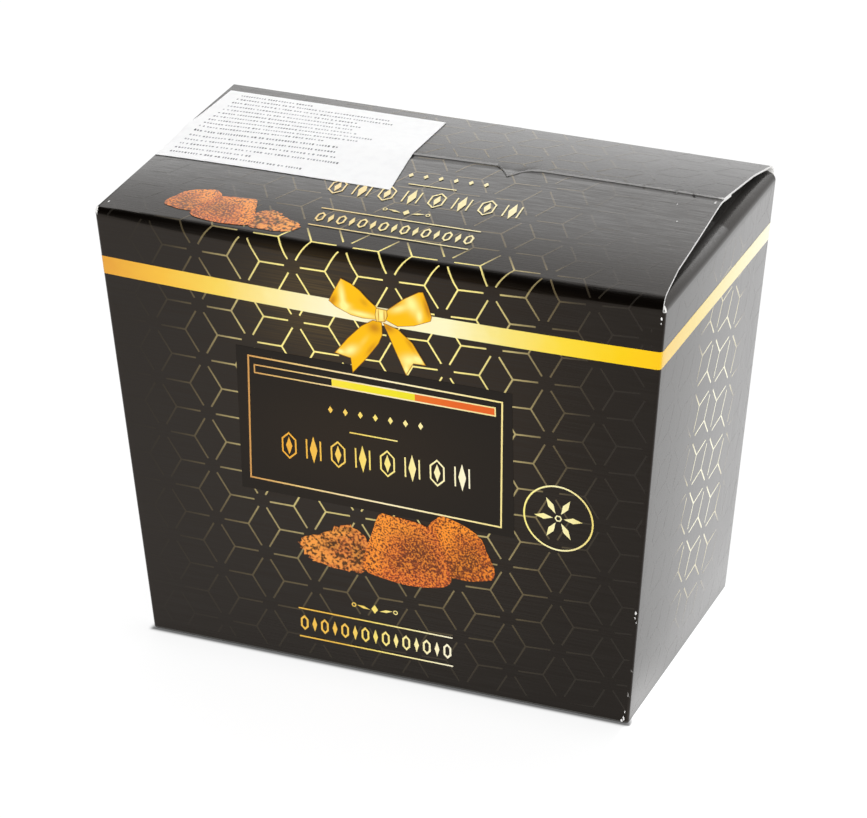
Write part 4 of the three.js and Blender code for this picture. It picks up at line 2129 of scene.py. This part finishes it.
@dataclass
class Scuffs:
    """Small chips in the ink at the folds, where the white board shows."""

    front: Face
    lid: LidPlan
    front_places: tuple[tuple[Place, float], ...] = (
        ((62.9, 31.0), 0.5), ((62.7, 29.6), 0.35), ((63.0, 28.4), 0.25), ((59.9, 1.6), 0.5),
        ((60.2, 3.4), 0.3), ((59.4, 0.9), 0.35), ((68.9, 108.4), 0.35), ((68.8, 107.2), 0.25),
    )
    lid_places: tuple[tuple[Place, float], ...] = (
        ((56.3, 6.4), 0.3), ((58.3, 1.2), 0.35), ((60.6, -5.3), 0.3), ((66.4, 4.4), 0.4),
        ((-68.2, -34.2), 0.4),
    )
    ragged: float = 0.12
    sides: int = 7

    def build(self) -> None:
        """Lays the chips."""
        draw = random.Random(5)
        white = BoardCore("chipped board").material()
        panels = (("front", self.front, self.front_places), ("lid", self.lid, self.lid_places))
        for name, face, places in panels:
            print_ = Print(f"chips_{name}", face, 0.03)
            for middle, size in places:
                reach = (size * draw.uniform(0.35, 0.6), size * draw.uniform(0.8, 1.2))
                for vert in print_.disc(middle, reach, self.sides):
                    vert.co.x += draw.gauss(0, size * self.ragged)
                    vert.co.y += draw.gauss(0, size * self.ragged)
            print_.lay([white])


@dataclass
class PaperLabel(Surface):
    """The white paper label, stuck over both lid flaps at the left.

    Its two coordinates are the shares of its width and of its depth, from the front left.
    """

    form: FoldedForm
    step: float = 0.01
    back_left: Place = (-68.0, 33.2)
    back_right: Place = (-11.2, 32.4)
    front_left: Place = (-69.2, -7.2)
    front_right: Place = (-8.0, -9.6)
    thickness: float = 0.12
    gap: float = 0.08
    columns: int = 24
    rows: int = 36
    row_ends: tuple[int, ...] = (
        400, 770, 800, 660, 690, 660, 700, 790, 730, 600, 680, 690, 710, 740, 380, 600,
    )
    row_tall: float = 19.0
    dash_gaps: tuple[float, ...] = (5.0, 5.5, 6.0, 6.5, 12.0)
    sheet: int = 1000

    def height(self, x: float, y: float) -> float:
        """The height of the lid under the label, with the paper lifting over the seam's end.

        Args:
            x: The place along the width.
            y: The place along the depth.

        Returns:
            The height.
        """
        lift = 0.5 * MM * math.exp(-((x / MM + 68) / 4) ** 2 - ((y / MM - 8) / 6) ** 2)
        over = clamp((y - self.form.seam_line(x)) / (3 * MM) + 1.1)
        low, high = self.form.lid_height(x, y), self.form.rear_height(x, y)
        return lerp(low, high, over * over * (3 - 2 * over)) + lift

    def point(self, across: float, up: float) -> Vector:
        """A point of the label, by the share of its width and of its depth.

        Args:
            across: The share of its width.
            up: The share of its depth.

        Returns:
            The point.
        """
        left = Vector(self.front_left).lerp(Vector(self.back_left), up)
        right = Vector(self.front_right).lerp(Vector(self.back_right), up)
        x, y = left.lerp(right, across) * MM
        return Vector((x, y, self.height(x, y)))

    def build(self) -> None:
        """Makes the paper and the marks on it, drawn on a sheet of a thousand units each way."""
        paper = Print("paper_label", self, self.gap, self.thickness)
        paper.bar((0, self.sheet / 2), (self.sheet, self.sheet / 2), self.sheet)
        paper.cut(0, [self.sheet * i / self.columns for i in range(1, self.columns)])
        paper.cut(1, [self.sheet * i / self.rows for i in range(1, self.rows)])
        piece = paper.lay([LabelPaper().material()], PAPER_SLOT)
        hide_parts("label")
        self._marks()

    def _marks(self) -> None:
        """Prints rows of small plain dashes, uneven in their length and their gaps."""
        draw = random.Random(7)
        marks = Print("label_print", self, self.gap + self.thickness, 0.02)
        rows = len(self.row_ends)
        for row, end in enumerate(self.row_ends):
            back = lerp(940, 70, row / (rows - 1))
            across = 70.0 - 30.0 * row / rows
            while across < end:
                long = draw.uniform(5, 9)
                marks.bar((across, back), (across + long, back), self.row_tall * draw.uniform(0.6, 1.0))
                across += long + draw.choice(self.dash_gaps)
        marks.lay([GreyPrint().material()], PAPER_SLOT)


@dataclass(frozen=True)
class Softbox:
    """One soft studio light."""

    name: str
    place: Colour
    aim: Colour
    size: Place
    power: float
    glossy: bool = True

    def build(self) -> bpy.types.Object:
        """Adds the light to the scene.

        Returns:
            The lamp.
        """
        light = bpy.data.lights.new(self.name, "AREA")
        light.shape = "RECTANGLE"
        light.size, light.size_y = self.size
        light.energy = self.power
        lamp = bpy.data.objects.new(self.name, light)
        lamp.location = self.place
        lamp.rotation_euler = (Vector(self.aim) - Vector(self.place)).to_track_quat("-Z", "Y").to_euler()
        lamp.visible_glossy = self.glossy
        bpy.context.scene.collection.objects.link(lamp)
        return lamp


@dataclass(frozen=True)
class Room:
    """The room that the gloss mirrors: bright behind the object up to half height, dark elsewhere."""

    heights: tuple[tuple[float, float], ...] = (
        (0.0, 1.25), (0.2, 1.3), (0.36, 1.45), (0.46, 1.35), (0.6, 1.95), (0.7, 1.9), (0.77, 0.9),
        (0.84, 0.15), (0.95, 0.05),
    )
    brightest: float = 2.0
    dim: float = 0.048

    def build(self) -> None:
        """Makes it the scene's world."""
        world = bpy.data.worlds.new("room")
        bpy.context.scene.world = world
        graph = Graph(world)
        look = graph.out("ShaderNodeTexCoord", output="Generated")
        parts = graph.node("ShaderNodeSeparateXYZ", inputs={0: look}).outputs
        x, y, z = (Signal(graph, part) for part in parts)
        stops = [(at, (level / self.brightest,) * 3) for at, level in self.heights]
        glow = graph.ramp(z.most(0.0), stops)
        behind = (y / (x * x + y * y).most(0.001).maths("SQRT")).step(0.25, 0.75)
        dim = (self.dim / self.brightest,) * 3
        colour = graph.mix(dim, glow, behind)
        light = graph.out("ShaderNodeBackground", inputs={"Color": colour, "Strength": self.brightest})
        graph.node("ShaderNodeOutputWorld", inputs={"Surface": light})


@dataclass(frozen=True)
class Floor:
    """The pale floor, which glows as a lit table does; its glow is raised as painted light to the right of
    the object, and darkened as a painted shadow along the front of its foot.
    """

    size: float = 4.0
    glow: float = 0.92
    # The beside and foot strengths are painted light on the floor; reach is the width of the painted shadow
    # at the front of the foot.
    beside: float = 0.3
    painted_foot_light: float = 0.8
    reach: float = 0.8
    form: FoldedForm = FoldedForm()

    def build(self) -> None:
        """Lays the floor."""
        bm = bmesh.new()
        bmesh.ops.create_grid(bm, x_segments=8, y_segments=8, size=self.size)
        graph = Graph.material("pale floor")
        x, y, _ = graph.axes()
        # Painted light: the glow is raised to the right of the object, from its front corner back, and in a
        # band beside its right-hand foot.
        right = x.step(58, 70) * y.step(-50, -25)
        painted_foot_light = x.step(60, 62) * x.step(70, 62) * y.step(-50, -36) * (1 - y.step(-25, 0) * 0.6)
        # Painted shadow: the glow is darkened close to the front of the object's foot.
        half_width, half_depth = self.form.base_width / 2 / MM, self.form.base_depth / 2 / MM
        off_x, off_y = (abs(x) - half_width).most(0.0), (abs(y) - half_depth).most(0.0)
        near = (off_x * off_x + off_y * off_y).maths("SQRT")
        shade = ((near / self.reach).falling() * 0.85 + (near / 7).falling() * 0.04) * y.step(-30, -35)
        strength = (right * self.beside + painted_foot_light * self.painted_foot_light + self.glow) * (1 - shade)
        grey = graph.mix((0.13, 0.13, 0.13), (0.14, 0.14, 0.14), graph.noise(60.0, 2.0))
        floor = settle("floor", bm, [graph.finish({
            "Base Color": grey,
            "Roughness": 0.9,
            "Specular IOR Level": 0.0,
            "Emission Color": graph.mix((0.0, 0.0, 0.0), (1.0, 1.0, 1.0), strength / 4),
            "Emission Strength": 4.0,
        })])


@dataclass(frozen=True)
class View:
    """The camera at the photograph's angle. Lengths are in widths of the object."""

    width: float = 0.14
    turn: float = 0.394336
    tilt: float = 0.479029
    roll: float = -0.0095738
    distance: float = 7.64188
    target: Colour = (-0.01216, 0.0, 0.38658)
    lens: float = 186.54
    sensor: float = 36.0

    def build(self) -> None:
        """Adds the camera to the scene."""
        back = Vector((
            math.sin(self.turn) * math.cos(self.tilt),
            -math.cos(self.turn) * math.cos(self.tilt),
            math.sin(self.tilt),
        ))
        right = Vector((0, 0, 1)).cross(back).normalized()
        above = back.cross(right)
        turned = right * math.cos(self.roll) + above * math.sin(self.roll)
        upright = above * math.cos(self.roll) - right * math.sin(self.roll)
        place = (Vector(self.target) + back * self.distance) * self.width
        data = bpy.data.cameras.new("camera")
        data.lens = self.lens
        data.sensor_fit = "HORIZONTAL"
        data.sensor_width = self.sensor
        camera = bpy.data.objects.new("camera", data)
        camera.matrix_world = Matrix((turned, upright, back)).transposed().to_4x4()
        camera.location = place
        bpy.context.scene.collection.objects.link(camera)
        bpy.context.scene.camera = camera


def build_studio() -> None:
    """Sets up the floor, the light and the camera."""
    Floor().build()
    Room().build()
    View().build()
    Softbox("front fill", (0.4, -1.3, 0.75), (0, 0, 0.05), (0.8, 0.8), 13.5, glossy=False).build()
    Softbox("overhead", (0.0, 0.25, 1.5), (0, 0, 0.1), (1.0, 1.0), 9.5, glossy=False).build()
    view = bpy.context.scene.view_settings
    view.view_transform = "Standard"
    view.look = "None"


def main() -> None:
    """Builds the carton, its print, its label and the studio, in that order."""
    logging.basicConfig(level=logging.INFO, format="%(name)s: %(message)s")
    form = FoldedForm()
    faces = faces_of(form)
    front, lid = faces[Side.FRONT], LidPlan(form)
    FoldedBlank(form, BlackCard().material(), BoardCore().material()).build()
    LineLattice(faces).build()
    Ribbon(form).build()
    Plaque(front).build()
    Bow(front).build()
    TrufflePicture(front, lid).build()
    gold = (
        (0.0, rgb(240, 164, 50)), (0.25, rgb(246, 194, 82)), (0.5, rgb(250, 226, 120)),
        (0.75, rgb(253, 240, 176)), (1.0, rgb(255, 248, 222)),
    )
    pale = ((0.0, rgb(240, 206, 140)), (0.5, rgb(244, 226, 160)), (1.0, rgb(246, 232, 180)))
    Title(front, "title_front", RampInk("title gold", -27, 25, gold), (-1.1, 58.4)).build()
    lid_title = RampInk("lid title gold", -27, 27, pale)
    Title(lid, "title_lid", lid_title, (1.3, -11.3), small_up=9.1, rule_up=5.3, tall=3.3).build()
    Caption(front, "caption_front", RampInk("caption gold", -22, 18, gold[1:]), (-2.4, 10.4)).build()
    lid_caption = RampInk("lid caption gold", -22, 20, pale)
    Caption(lid, "caption_lid", lid_caption, (-0.5, -25.1), half_height=3.85, flourish_up=7.1).build()
    Roundel(front).build()
    Scuffs(front, lid).build()
    PaperLabel(form).build()
    build_studio()


if __name__ == "__main__":
    main()
